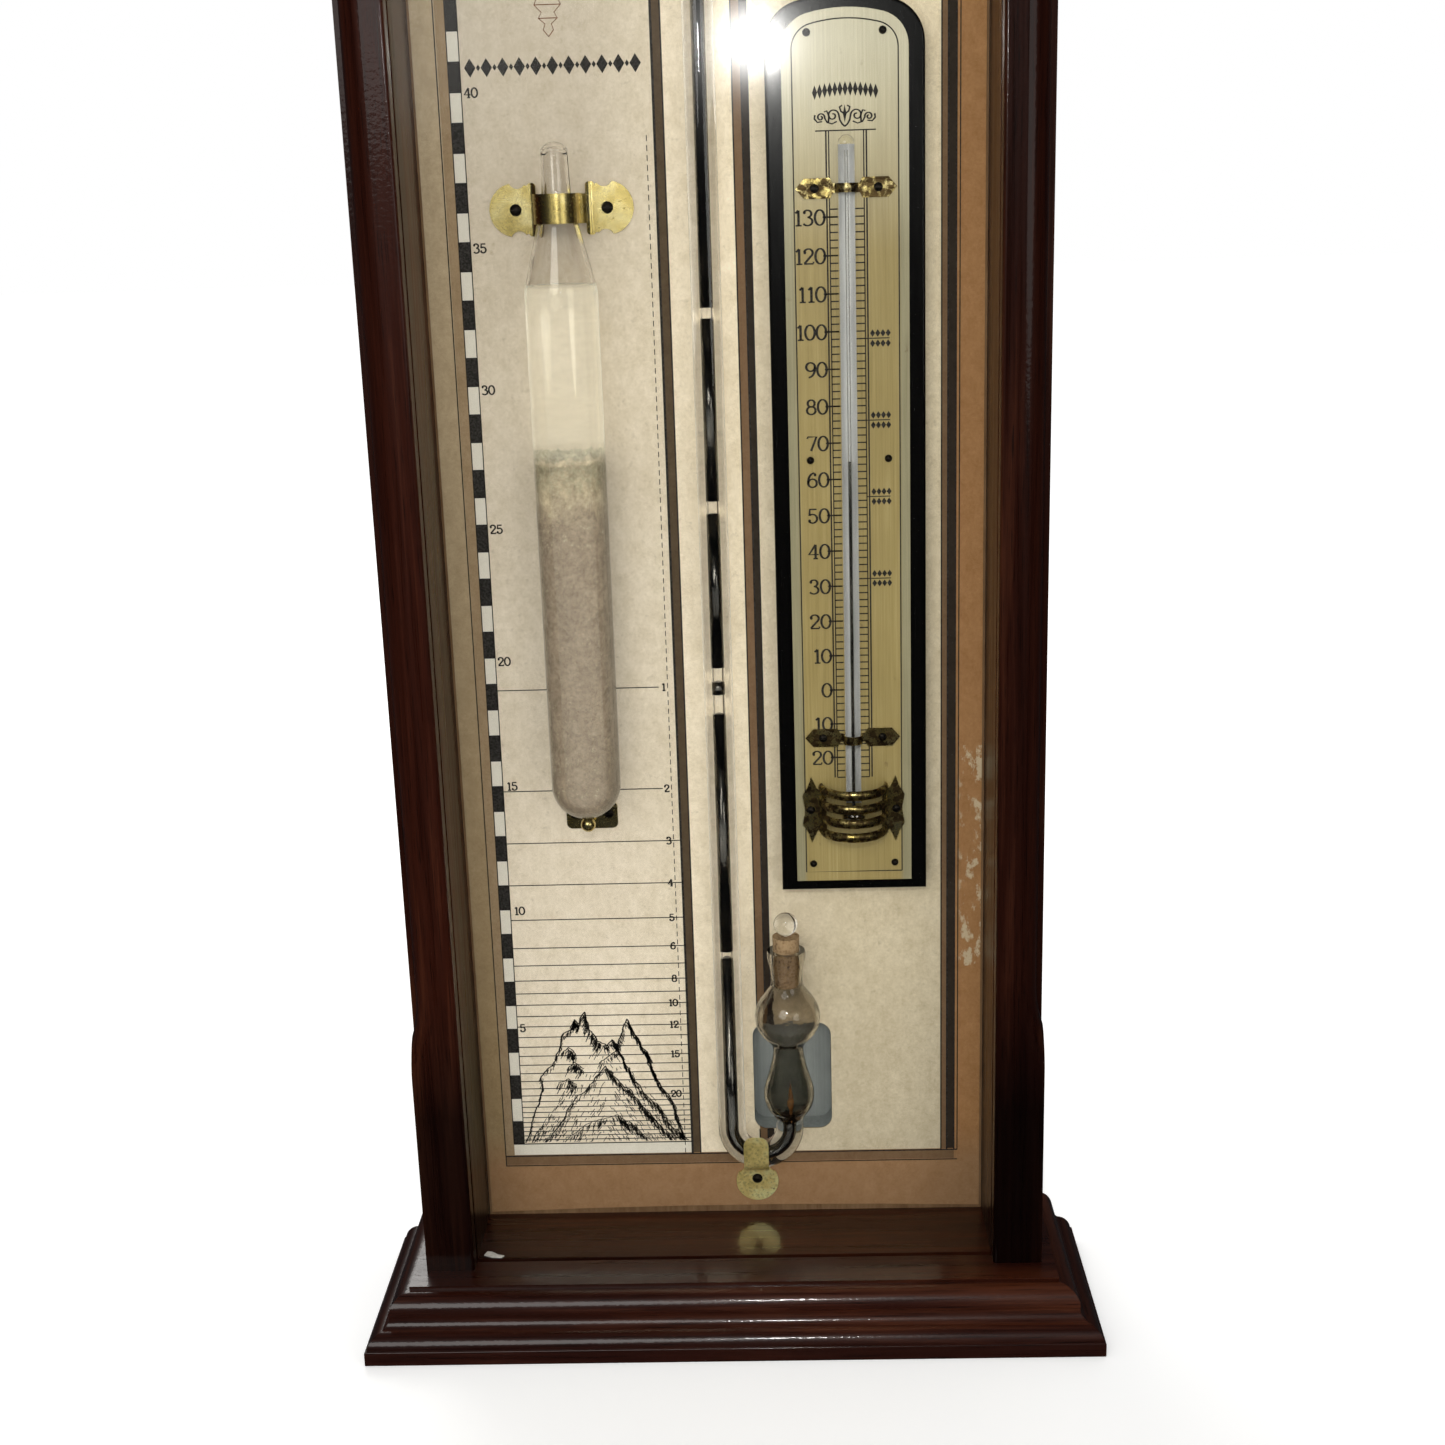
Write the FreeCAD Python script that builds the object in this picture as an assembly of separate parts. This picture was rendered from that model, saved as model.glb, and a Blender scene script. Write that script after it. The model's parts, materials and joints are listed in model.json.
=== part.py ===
"""Wall weather instrument with a storm glass: a glazed mahogany case that holds a sealed storm bottle,
a siphon barometer and a thermometer in front of a printed chart.

Frame: millimetres, +X to the viewer's right, +Y into the wall, +Z up. The origin is the middle of the
plinth's underside. Each physical piece is written to parts/NODE.step.
"""
import FreeCAD, Part
import math
import os

V = FreeCAD.Vector

# ---- case ----
PLINTH_HALF_W = 133.6
PLINTH_DEPTH = 79.4
MOULDING_PROJECTION = 15.0
BASE_HEIGHT = 23.1            # underside of the plinth to the floor of the case
BASE_BOARD_T = 12.0
NOSING = 1.5                  # board edge left standing above the moulding
CASE_INNER_H = 881.9
POST_INNER_X = 96.0
POST_OUTER_X = 113.7
POST_DEPTH_FRONT = 40.1       # chart face to the front of the posts
CHART_SETBACK = 14.1          # chart face to the wall
GLASS_SETBACK = 7.0           # front of the posts to the middle of the glass
GLASS_T = 2.0
GLASS_GROOVE_D = 3.0
GROOVE_PLAY = 0.2
BACK_PANEL_T = 4.0
BACK_REBATE = 4.0

# ---- moulded corner of each post ----
ARRIS_X = 103.6               # inner arris of the ovolo
FILLET_X = 111.4
OVOLO_DEPTH = 8.6
FILLET_DEPTH = 9.9
STOP_START_H = 107.0          # full ovolo this far above the case floor
STOP_LENGTH = 34.0
STOP_RADIUS = 48.0            # run-out of the cutter
INNER_BEAD_R = 1.2

# ---- pediment and hanging plate ----
PEDIMENT_HALF_W = 106.0
PEDIMENT_H = 58.0
PEDIMENT_T = 12.0
PEDIMENT_END_H = 19.0
PLATE_W, PLATE_H, PLATE_T = 22.0, 46.0, 1.6
HANGING_HOLE_R = 3.0

# ---- chart ----
PAPER_T = 0.4
PAPER_HALF_W = 95.0
PAPER_BOTTOM = 24.4           # corners of the paper above the plinth's underside
PAPER_BOW = 1.5
WINDOW_X0, WINDOW_X1 = 8.9, 38.6
WINDOW_Z0, WINDOW_Z1 = 58.3, 102.3
WINDOW_R = 5.0

# ---- storm bottle ----
BOTTLE_X = -47.8
BOTTLE_R = 12.3
BOTTLE_WALL = 1.2
BOTTLE_BOTTOM = 191.1
BOTTLE_SHOULDER = 377.0
BOTTLE_TOP = 423.5
NECK_TOP_R = 4.8
NECK_BASE_R = 6.6
BOTTLE_GAP = 3.2              # bottle to chart
LIQUID_TOP = 377.6
CRYSTAL_TOP = 319.5
STORM_CLIP_Z = 402.2
STORM_CLIP_HOLE_X = 15.5

# ---- siphon barometer ----
TUBE_X = 0.3
TUBE_R = 5.2
BORE_R = 1.55
TUBE_GAP = 2.0                # tube to chart
U_RADIUS = 11.0
U_BOTTOM = 46.5
TUBE_TOP = 892.0
MERCURY_POOL = 68.0
MERCURY_TOP = 824.0
MERCURY_GAPS = ((133.0, 135.6), (226.6, 233.8), (238.4, 243.6), (298.6, 303.0), (365.0, 368.6))

CISTERN_LEAN = 6.15
CISTERN_BASE = 65.0
CISTERN_STATIONS = ((65.0, 5.2), (66.2, 5.3), (68.0, 6.0), (70.0, 7.4), (72.5, 8.7), (75.5, 9.4),
                    (78.5, 9.5), (82.0, 9.0), (86.0, 7.9), (90.0, 6.9), (94.0, 6.1), (97.5, 5.65),
                    (99.5, 5.9), (101.5, 7.2), (104.0, 9.5), (107.5, 11.5), (111.3, 12.15),
                    (115.0, 11.5), (118.3, 9.8), (121.0, 7.8), (123.4, 6.3), (126.0, 5.9),
                    (130.0, 6.1), (133.5, 6.8), (136.3, 7.15), (137.5, 6.9))
CISTERN_INNER_STATIONS = ((65.0, 1.55), (66.6, 1.75), (68.2, 2.8), (70.2, 5.6), (72.5, 7.4), (75.5, 8.3),
                          (78.5, 8.4), (82.0, 7.9), (86.0, 6.8), (90.0, 5.8), (94.0, 5.0), (97.5, 4.55),
                          (99.5, 4.8), (101.5, 6.1), (104.0, 8.4), (107.5, 10.4), (111.3, 11.05),
                          (115.0, 10.4), (118.3, 8.7), (121.0, 6.7), (124.0, 4.85))
NECK_Z = 123.6
NECK_BORE_R = 4.85
CORK_TOP = 143.0
TUBE_CLIP_HEIGHTS = (600.0, 884.0)
TAB_Z = 36.4
TAB_R = 8.1

# ---- thermometer ----
THERMO_X = 47.9
THERMO_BOARD_HALF_W = 26.3
THERMO_BOARD_Z0, THERMO_BOARD_Z1 = 158.8, 467.0
THERMO_BOARD_T = 8.0
SCALE_HALF_W = 20.8
SCALE_Z0, SCALE_Z1 = 162.7, 462.4
SCALE_T = 1.0
THERMO_TUBE_R = 2.75
THERMO_TUBE_TOP = 422.9
BULB_Z = 188.0
BULB_R = 4.2
THREAD_TOP = 315.8
GUARD_R = 11.8
GUARD_Z0, GUARD_Z1 = 181.0, 200.0
PLATE_PINS = ((12.4, 455.0), (13.4, 316.2), (14.8, 169.3))    # distance from the tube, and height

# ---- barometer scales and their setting pointers ----
SCALE_ZERO = 72.0             # mean level of the mercury in the cistern
INCH = 25.4
POINTER_INCHES = 29.0
POINTER_TRAVEL = 50.8
RACK_ABOVE_POINTER = 3.0
CARD_X0, CARD_X1 = 12.0, 46.0
CARD_Z0, CARD_Z1 = 744.0, 873.0
RACK_X = 52.0
RACK_W = 5.0
RACK_LENGTH = 130.0
ROD_X = 62.0
ROD_R = 1.5
ROD_END = 8.0                 # rod beyond the collars at each end of the travel
COLLAR_H = 8.0
PINION_Z = 747.0
MODULE = 0.7
PINION_TEETH = 18
BACKLASH = 0.1
ARBOR_R = 1.5
KNOB_R = 8.0
KNOB_END_X = 127.0
BUSH_R = 4.0
BUSH_FLANGE_T = 1.2

# ---- derived places ----
WALL_Y = PLINTH_DEPTH / 2
BACK_PANEL_Y = WALL_Y - BACK_PANEL_T
CHART_Y = WALL_Y - CHART_SETBACK
POST_FRONT_Y = CHART_Y - POST_DEPTH_FRONT
GLASS_Y = POST_FRONT_Y + GLASS_SETBACK
BOARD_FACE_Y = CHART_Y + PAPER_T
CASE_TOP = BASE_HEIGHT + CASE_INNER_H
HEIGHT_OF_CASE = CASE_TOP + BASE_HEIGHT
BOTTLE_Y = CHART_Y - BOTTLE_GAP - BOTTLE_R
TUBE_Y = CHART_Y - TUBE_GAP - TUBE_R
U_CENTRE_X = TUBE_X + U_RADIUS
U_CENTRE_Z = U_BOTTOM + TUBE_R + U_RADIUS
CISTERN_X = TUBE_X + 2 * U_RADIUS
HOOK_X = U_CENTRE_X - 2.0
THERMO_FACE_Y = CHART_Y - THERMO_BOARD_T
SCALE_FACE_Y = THERMO_FACE_Y - SCALE_T
THERMO_TUBE_Y = SCALE_FACE_Y - THERMO_TUBE_R - 0.05
POINTER_Z = SCALE_ZERO + POINTER_INCHES * INCH
RACK_TOP = POINTER_Z + RACK_ABOVE_POINTER
RACK_BOTTOM = RACK_TOP - RACK_LENGTH
RACK_BACK_Y = CHART_Y - 6.0
ROD_Y = CHART_Y - 8.0
PITCH_R = MODULE * PINION_TEETH / 2
RACK_PITCH_Y = RACK_BACK_Y - 4.2
ARBOR_Y = RACK_PITCH_Y - PITCH_R

nodes = {}
driven = []                   # holes of the screws and pins that enter the chart board


# ---------------------------------------------------------------- helpers
def box(x0, x1, y0, y1, z0, z1):
    return Part.makeBox(x1 - x0, y1 - y0, z1 - z0, V(x0, y0, z0))


def cylinder(radius, start, end):
    axis = end - start
    return Part.makeCylinder(radius, axis.Length, start, axis)


def arbor_cylinder(radius, x0, x1):
    """Round bar or bore on the axis of the pinion arbor."""
    return cylinder(radius, V(x0, ARBOR_Y, PINION_Z), V(x1, ARBOR_Y, PINION_Z))


def wire(edges):
    return Part.Wire(Part.__sortEdges__(edges))


def line(a, b):
    return Part.makeLine(a, b)


def arc(a, b, c):
    return Part.Arc(a, b, c).toShape()


def prism(edges, direction):
    return Part.Face(wire(edges)).extrude(direction)


def polygon_prism(points, direction):
    return Part.Face(Part.makePolygon(points + [points[0]])).extrude(direction)


def group(shapes):
    return Part.makeCompound(list(shapes))


def split(pairs):
    """Fasteners and their holes, as two lists."""
    return [pair[0] for pair in pairs], [pair[1] for pair in pairs]


def merged(shapes):
    result = shapes[0].multiFuse(shapes[1:]) if len(shapes) > 1 else shapes[0]
    return result.removeSplitter()


def cut_all(shape, tools):
    return shape.cut(group(tools)) if tools else shape


def mirrored_x(shape):
    return shape.mirror(V(0, 0, 0), V(1, 0, 0))


def flipped_z(shape):
    return shape.mirror(V(0, 0, HEIGHT_OF_CASE / 2), V(0, 0, 1))


def rounded_rectangle(x0, x1, z0, z1, radius, y, depth):
    """Plate in the XZ plane with rounded corners, from y to y + depth."""
    plate = box(x0, x1, y, y + depth, z0, z1)
    corners = [e for e in plate.Edges if abs(e.tangentAt(e.FirstParameter).y) > 0.99]
    return plate.makeFillet(radius, corners)


def arched_plate(centre_x, half_w, z0, z1, corner_r, crown_r, y, depth):
    """Plate in the XZ plane with square lower corners and a three-arc arched top."""
    crown_z = z1 - crown_r
    corner_x = half_w - corner_r
    corner_z = crown_z + math.sqrt((crown_r - corner_r) ** 2 - corner_x ** 2)
    lean = math.atan2(corner_x, corner_z - crown_z)
    join = (corner_x + corner_r * math.sin(lean), corner_z + corner_r * math.cos(lean))
    half = lean + (math.pi / 2 - lean) / 2
    shoulder = (corner_x + corner_r * math.sin(half), corner_z + corner_r * math.cos(half))

    def at(x, z):
        return V(centre_x + x, y, z)

    edges = [line(at(-half_w, z0), at(half_w, z0)), line(at(half_w, z0), at(half_w, corner_z)),
             arc(at(half_w, corner_z), at(*shoulder), at(*join)),
             arc(at(*join), at(0, z1), at(-join[0], join[1])),
             arc(at(-join[0], join[1]), at(-shoulder[0], shoulder[1]), at(-half_w, corner_z)),
             line(at(-half_w, corner_z), at(-half_w, z0))]
    return prism(edges, V(0, depth, 0))


def screw_y(x, face_y, z, head_r=2.6, head_h=1.4, shank_r=1.1, length=8.0):
    """Round-head wood screw driven along +Y, its slotted head standing on face_y, and its hole."""
    dome_r = (head_r ** 2 + head_h ** 2) / (2 * head_h)
    head = Part.makeSphere(dome_r, V(x, face_y - head_h + dome_r, z))
    head = head.common(cylinder(head_r, V(x, face_y - head_h, z), V(x, face_y, z)))
    shank = cylinder(shank_r, V(x, face_y, z), V(x, face_y + length, z))
    slot = box(x - head_r, x + head_r, face_y - head_h - 0.1, face_y - head_h * 0.45, z - 0.25, z + 0.25)
    return head.fuse(shank).cut(slot), hole_y(x, z, shank_r, face_y - 1, face_y + length)


def flat_screw_y(x, face_y, z, head_r=2.4, shank_r=1.1, length=9.0):
    """Countersunk wood screw driven along +Y, its head flush with face_y, and its hole."""
    cone_h = head_r - shank_r
    head = Part.makeCone(head_r, shank_r, cone_h, V(x, face_y, z), V(0, 1, 0))
    body = head.fuse(cylinder(shank_r, V(x, face_y + cone_h, z), V(x, face_y + length, z)))
    slot = box(x - head_r, x + head_r, face_y - 0.1, face_y + 0.5, z - 0.25, z + 0.25)
    return body.cut(slot), body.fuse(hole_y(x, z, head_r, face_y - 1, face_y))


def pin_y(x, face_y, z, head_r=1.3, shank_r=0.6, length=12.0):
    """Domed panel pin driven along +Y, and its hole."""
    head = Part.makeSphere(head_r, V(x, face_y, z)).common(
        box(x - head_r, x + head_r, face_y - head_r, face_y, z - head_r, z + head_r))
    shank = hole_y(x, z, shank_r, face_y, face_y + length)
    return head.fuse(shank), hole_y(x, z, shank_r, face_y - 1, face_y + length)


def hole_y(x, z, radius, y0, y1):
    return cylinder(radius, V(x, y0, z), V(x, y1, z))


def bent_strip(width_z, z0, thickness, segments):
    """Metal strip whose middle line is lines and arcs in the XY plane, extruded by width_z along Z."""
    solids = []
    half = thickness / 2
    for segment in segments:
        if segment[0] == "line":
            a, b = V(*segment[1], z0), V(*segment[2], z0)
            side = (b - a).cross(V(0, 0, 1)).normalize() * half
            solids.append(polygon_prism([a + side, b + side, b - side, a - side], V(0, 0, width_z)))
        else:
            centre, radius, start, sweep = segment[1:]
            ring = Part.makeCylinder(radius + half, width_z, V(*centre, z0), V(0, 0, 1), sweep)
            ring = ring.cut(Part.makeCylinder(radius - half, width_z, V(*centre, z0), V(0, 0, 1), 360))
            ring.rotate(V(*centre, z0), V(0, 0, 1), start)
            solids.append(ring)
    return merged(solids)


# ---------------------------------------------------------------- case
def moulding_edges(at):
    """Plinth moulding section: fascia, roll, cove and ovolo; at(u, z) places a point u outward."""
    out = MOULDING_PROJECTION
    top = BASE_HEIGHT - NOSING
    return [line(at(0, 0), at(out - 0.5, 0)), arc(at(out - 0.5, 0), at(out - 0.15, 0.15), at(out, 0.5)),
            line(at(out, 0.5), at(out, 5.1)), arc(at(out, 5.1), at(out - 0.2, 5.5), at(out - 0.7, 5.6)),
            arc(at(out - 0.7, 5.6), at(12.8, 8.8), at(9.2, 10.5)),
            arc(at(9.2, 10.5), at(7.4, 12.2), at(6.9, 15.4)),
            arc(at(6.9, 15.4), at(5.4, 19.4), at(0, top)), line(at(0, top), at(0, 0))]


def base_mouldings():
    """Front, left and right mouldings, mitred at the front corners."""
    inner_x = PLINTH_HALF_W - MOULDING_PROJECTION
    inner_y = -WALL_Y + MOULDING_PROJECTION
    front = prism(moulding_edges(lambda u, z: V(-PLINTH_HALF_W, inner_y - u, z)), V(2 * PLINTH_HALF_W, 0, 0))
    right = prism(moulding_edges(lambda u, z: V(inner_x + u, -WALL_Y, z)), V(0, 2 * WALL_Y, 0))
    reach = MOULDING_PROJECTION + 10

    def corner(side):
        return [V(side * inner_x, inner_y, -1), V(side * (inner_x + reach), inner_y - reach, -1)]

    left_pair, right_pair = corner(-1), corner(1)
    front_zone = polygon_prism([left_pair[0], left_pair[1], right_pair[1], right_pair[0]], V(0, 0, 40))
    back_pair = [V(inner_x + reach, WALL_Y, -1), V(inner_x, WALL_Y, -1)]
    side_zone = polygon_prism([right_pair[0], right_pair[1]] + back_pair, V(0, 0, 40))
    right = right.common(side_zone)
    return front.common(front_zone), mirrored_x(right), right


def glass_groove_tool():
    """The slab that the glass needs in the boards and posts, with play all round."""
    half_t = (GLASS_T + GROOVE_PLAY) / 2
    reach = POST_INNER_X + GLASS_GROOVE_D + GROOVE_PLAY / 2
    low = BASE_HEIGHT - GLASS_GROOVE_D
    return box(-reach, reach, GLASS_Y - half_t, GLASS_Y + half_t, low, HEIGHT_OF_CASE - low)


def base_board():
    half_w = PLINTH_HALF_W - MOULDING_PROJECTION
    front_y = MOULDING_PROJECTION - WALL_Y
    return box(-half_w, half_w, front_y, WALL_Y, BASE_HEIGHT - BASE_BOARD_T, BASE_HEIGHT)


def ovolo_cutter():
    """Waste that the moulding cutter takes off a right-hand post, with its run-out below the stop."""
    far = POST_OUTER_X + 30
    front = POST_FRONT_Y - 5
    bulge = V(ARRIS_X + 0.71 * (FILLET_X - ARRIS_X), POST_FRONT_Y + 0.29 * OVOLO_DEPTH)

    def section(shift, z):
        p = [V(ARRIS_X, front, z), V(ARRIS_X, POST_FRONT_Y, z), V(bulge.x, bulge.y, z),
             V(FILLET_X, POST_FRONT_Y + OVOLO_DEPTH, z), V(FILLET_X, POST_FRONT_Y + FILLET_DEPTH, z),
             V(far, POST_FRONT_Y + FILLET_DEPTH, z), V(far, front, z)]
        p = [q + V(shift, 0, 0) for q in p]
        return Part.Wire([line(p[0], p[1]), arc(p[1], p[2], p[3]), line(p[3], p[4]), line(p[4], p[5]),
                          line(p[5], p[6]), line(p[6], p[0])])

    start = BASE_HEIGHT + STOP_START_H
    end = HEIGHT_OF_CASE - start
    steps = 6
    lower = []
    for i in range(steps + 1):
        drop = STOP_LENGTH * (1 - i / steps)
        lower.append(section(STOP_RADIUS - math.sqrt(STOP_RADIUS ** 2 - drop ** 2), start - drop))
    run_out = Part.makeLoft(lower, True, False)
    straight = Part.Face(section(0, start)).extrude(V(0, 0, end - start))
    return [run_out, straight, flipped_z(run_out)]


def right_post():
    """Side of the case and moulded stile in one, grooved for the glass and rebated for the back."""
    post = box(POST_INNER_X, POST_OUTER_X, POST_FRONT_Y, WALL_Y, BASE_HEIGHT, CASE_TOP)
    inner_edge = [e for e in post.Edges if abs(e.CenterOfMass.x - POST_INNER_X) < 0.01
                  and abs(e.CenterOfMass.y - POST_FRONT_Y) < 0.01]
    post = post.makeFillet(INNER_BEAD_R, inner_edge)
    rebate = box(POST_INNER_X, POST_INNER_X + BACK_REBATE, BACK_PANEL_Y, WALL_Y, BASE_HEIGHT, CASE_TOP)
    return cut_all(post, ovolo_cutter() + [rebate])


def pediment():
    """Low segmental board that stands in the well of the cornice."""
    base_z = CASE_TOP + BASE_BOARD_T
    y = -WALL_Y + MOULDING_PROJECTION
    w, h = PEDIMENT_HALF_W, PEDIMENT_H

    def at(x, z):
        return V(x, y, base_z + z)

    edges = [line(at(-w, 0), at(w, 0)), line(at(w, 0), at(w, PEDIMENT_END_H)),
             arc(at(w, PEDIMENT_END_H), at(0, h), at(-w, PEDIMENT_END_H)),
             line(at(-w, PEDIMENT_END_H), at(-w, 0))]
    board = prism(edges, V(0, PEDIMENT_T, 0))
    crown = [e for e in board.Edges if abs(e.CenterOfMass.y - y) < 0.01 and e.CenterOfMass.z > base_z + 30]
    return board.makeFillet(2.5, crown)


def hanging_plate():
    low = CASE_TOP + 0.8
    plate = box(-PLATE_W / 2, PLATE_W / 2, WALL_Y - PLATE_T, WALL_Y, low, low + PLATE_H)
    top = [e for e in plate.Edges
           if abs(e.tangentAt(e.FirstParameter).y) > 0.99 and e.CenterOfMass.z > low + 1]
    plate = plate.makeFillet(PLATE_W / 2 - 0.5, top)
    return plate.cut(hole_y(0, low + PLATE_H - PLATE_W / 2, HANGING_HOLE_R, WALL_Y - 5, WALL_Y + 1))


def hanging_screws():
    """Two countersunk screws through the hanging plate into the back edge of the top board."""
    pairs = []
    z = CASE_TOP + 6
    for x in (-6.0, 6.0):
        head = Part.makeCone(2.6, 1.2, PLATE_T, V(x, WALL_Y, z), V(0, -1, 0))
        body = head.fuse(cylinder(1.2, V(x, WALL_Y - PLATE_T, z), V(x, WALL_Y - 18, z)))
        slot = box(x - 3, x + 3, WALL_Y - 0.5, WALL_Y + 0.1, z - 0.3, z + 0.3)
        pairs.append((body.cut(slot), body.fuse(hole_y(x, z, 2.6, WALL_Y, WALL_Y + 1))))
    return pairs


def screws_under_board():
    """Countersunk screws that hold the posts to the base board from below."""
    pairs = []
    low = BASE_HEIGHT - BASE_BOARD_T
    for x in (-105.0, 105.0):
        for y in (0.0, 28.0):
            head = Part.makeCone(4.0, 2.0, 2.0, V(x, y, low), V(0, 0, 1))
            body = head.fuse(cylinder(2.0, V(x, y, low + 2), V(x, y, low + 34)))
            slot = box(x - 4, x + 4, y - 0.4, y + 0.4, low - 0.1, low + 0.8)
            pairs.append((body.cut(slot), body.fuse(cylinder(4.0, V(x, y, low - 1), V(x, y, low)))))
    return pairs


def back_pins():
    """Headless panel pins that hold the back panel in the rebates of the posts."""
    places = [(side * (POST_INNER_X + BACK_REBATE / 2), BASE_HEIGHT + 60 + i * (CASE_INNER_H - 120) / 3)
              for side in (-1, 1) for i in range(4)]
    return [cylinder(0.8, V(x, WALL_Y - 14, z), V(x, WALL_Y, z)) for x, z in places]


def build_case():
    front, left, right = base_mouldings()
    groove = glass_groove_tool()
    low_screws, low_holes = split(screws_under_board())
    high_screws = [flipped_z(s) for s in low_screws]
    high_holes = [flipped_z(h) for h in low_holes]
    pins = back_pins()
    plate = hanging_plate()
    plate_screws, plate_holes = split(hanging_screws())
    back_half_w = POST_INNER_X + BACK_REBATE - 0.1
    back = box(-back_half_w, back_half_w, BACK_PANEL_Y, WALL_Y, BASE_HEIGHT, CASE_TOP)
    post = right_post()
    bush_hole = arbor_cylinder(BUSH_R, POST_INNER_X - 5, POST_OUTER_X + 5)
    post_tools = [groove] + low_holes + high_holes + pins
    nodes["base_board"] = cut_all(base_board(), [groove] + low_holes)
    nodes["top_board"] = cut_all(flipped_z(base_board()), [groove, plate] + high_holes + plate_holes)
    for name, shape in (("front", front), ("left", left), ("right", right)):
        nodes["plinth_" + name + "_moulding"] = shape
        nodes["cornice_" + name + "_moulding"] = flipped_z(shape)
    nodes["right_post"] = cut_all(post, post_tools + [bush_hole])
    nodes["left_post"] = cut_all(mirrored_x(post), post_tools + [mirrored_x(bush_hole)])
    nodes["back_panel"] = cut_all(back, pins)
    pane_half_w = POST_INNER_X + GLASS_GROOVE_D
    nodes["front_glass"] = box(-pane_half_w, pane_half_w, GLASS_Y - GLASS_T / 2, GLASS_Y + GLASS_T / 2,
                               BASE_HEIGHT - GLASS_GROOVE_D, CASE_TOP + GLASS_GROOVE_D - 0.5)
    nodes["pediment"] = pediment()
    nodes["hanging_plate"] = cut_all(plate, plate_holes)
    nodes["hanging_plate_screws"] = group(plate_screws)
    nodes["case_screws"] = group(low_screws + high_screws)
    nodes["back_panel_pins"] = group(pins)


def build_chart():
    """Backing board and the chart sheet on it, both cut away behind the cistern."""
    board_half_w = POST_INNER_X - 0.1
    board = box(-board_half_w, board_half_w, BOARD_FACE_Y, BACK_PANEL_Y, BASE_HEIGHT, CASE_TOP)
    window = rounded_rectangle(WINDOW_X0, WINDOW_X1, WINDOW_Z0, WINDOW_Z1, WINDOW_R, CHART_Y - 1, 20)
    w, top = PAPER_HALF_W, CASE_TOP - 1

    def at(x, z):
        return V(x, CHART_Y, z)

    paper = prism([arc(at(-w, PAPER_BOTTOM), at(0, PAPER_BOTTOM + PAPER_BOW), at(w, PAPER_BOTTOM)),
                   line(at(w, PAPER_BOTTOM), at(w, top)), line(at(w, top), at(-w, top)),
                   line(at(-w, top), at(-w, PAPER_BOTTOM))], V(0, PAPER_T, 0))
    nodes["chart_board"] = cut_all(board, [window] + driven)
    nodes["chart_sheet"] = cut_all(paper, [window] + driven)


# ---------------------------------------------------------------- clips shared by both glass tubes
def saddle_clip(x, y, z, inner_r, strap_h, ear_h, lobe_r, lobe_x, thickness=0.8):
    """Brass strap over an upright tube, with an ear and a round lobe on the chart at each side."""
    middle_r = inner_r + thickness / 2
    back_y = CHART_Y - thickness / 2
    bend = 3.0
    leg_y = back_y - bend
    reach = lobe_x + lobe_r
    segments = [("arc", (x, y), middle_r, 180, 180)]
    for side in (-1, 1):
        leg_x = x + side * middle_r
        bend_x = leg_x + side * bend
        segments += [("line", (leg_x, y), (leg_x, leg_y)),
                     ("line", (bend_x, back_y), (x + side * reach, back_y)),
                     ("arc", (bend_x, leg_y), bend, 90 if side > 0 else 0, 90)]
    strip = bent_strip(2 * ear_h + 4, z - ear_h - 2, thickness, segments)
    edge_x = middle_r + thickness
    outer_x = edge_x + bend
    outline = [rounded_rectangle(x - outer_x, x + outer_x, z - strap_h, z + strap_h, 0.5, 0, CHART_Y)]
    notches = []
    notch_r = 0.34 * ear_h
    for side in (-1, 1):
        outline.append(hole_y(x + side * lobe_x, z, lobe_r, 0, CHART_Y))
        ear_x = x + side * (edge_x + bend / 2)
        outline.append(rounded_rectangle(ear_x - bend / 2, ear_x + bend / 2, z - ear_h, z + ear_h,
                                         1.2, 0, CHART_Y))
        for up in (-1, 1):
            notches.append(hole_y(x + side * (outer_x + 1.1 * notch_r), z + up * (ear_h + 0.4 * notch_r),
                                  notch_r, 0, CHART_Y))
    return strip.common(cut_all(merged(outline), notches))


# ---------------------------------------------------------------- storm glass
def bottle_profile(wall):
    """Half section of the storm bottle in XZ, offset inward by wall."""
    r = BOTTLE_R - wall
    centre_z = BOTTLE_BOTTOM + BOTTLE_R
    neck_z, throat_z = 396.5, 408.0
    tip_r = NECK_TOP_R - 0.8 * wall
    top = BOTTLE_TOP - 1.5 * wall

    def at(radius, z):
        return V(BOTTLE_X + radius, BOTTLE_Y, z)

    lean = math.radians(45)
    end_r, cap_h = tip_r - 0.4, 2.5
    cap_r = (end_r ** 2 + cap_h ** 2) / (2 * cap_h)
    cap_lean = math.asin(end_r / cap_r) / 2
    cap_middle = at(cap_r * math.sin(cap_lean), top - cap_r * (1 - math.cos(cap_lean)))
    shoulder, neck = at(r - 0.55, BOTTLE_SHOULDER + 1), at(NECK_BASE_R + 0.5 - wall, neck_z)
    return [arc(at(0, centre_z - r), at(r * math.sin(lean), centre_z - r * math.cos(lean)), at(r, centre_z)),
            line(at(r, centre_z), at(r, BOTTLE_SHOULDER - 2)),
            arc(at(r, BOTTLE_SHOULDER - 2), at(r - 0.15, BOTTLE_SHOULDER - 0.4), shoulder),
            line(shoulder, neck), arc(neck, at(NECK_BASE_R - 1.1 - 0.9 * wall, 402.0), at(tip_r, throat_z)),
            line(at(tip_r, throat_z), at(end_r, top - cap_h)),
            arc(at(end_r, top - cap_h), cap_middle, at(0, top)),
            line(at(0, top), at(0, centre_z - r))]


def turned(edges, x, y):
    """Half section in XZ revolved about the upright axis at x, y."""
    return Part.Face(wire(edges)).revolve(V(x, y, 0), V(0, 0, 1), 360)


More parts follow.
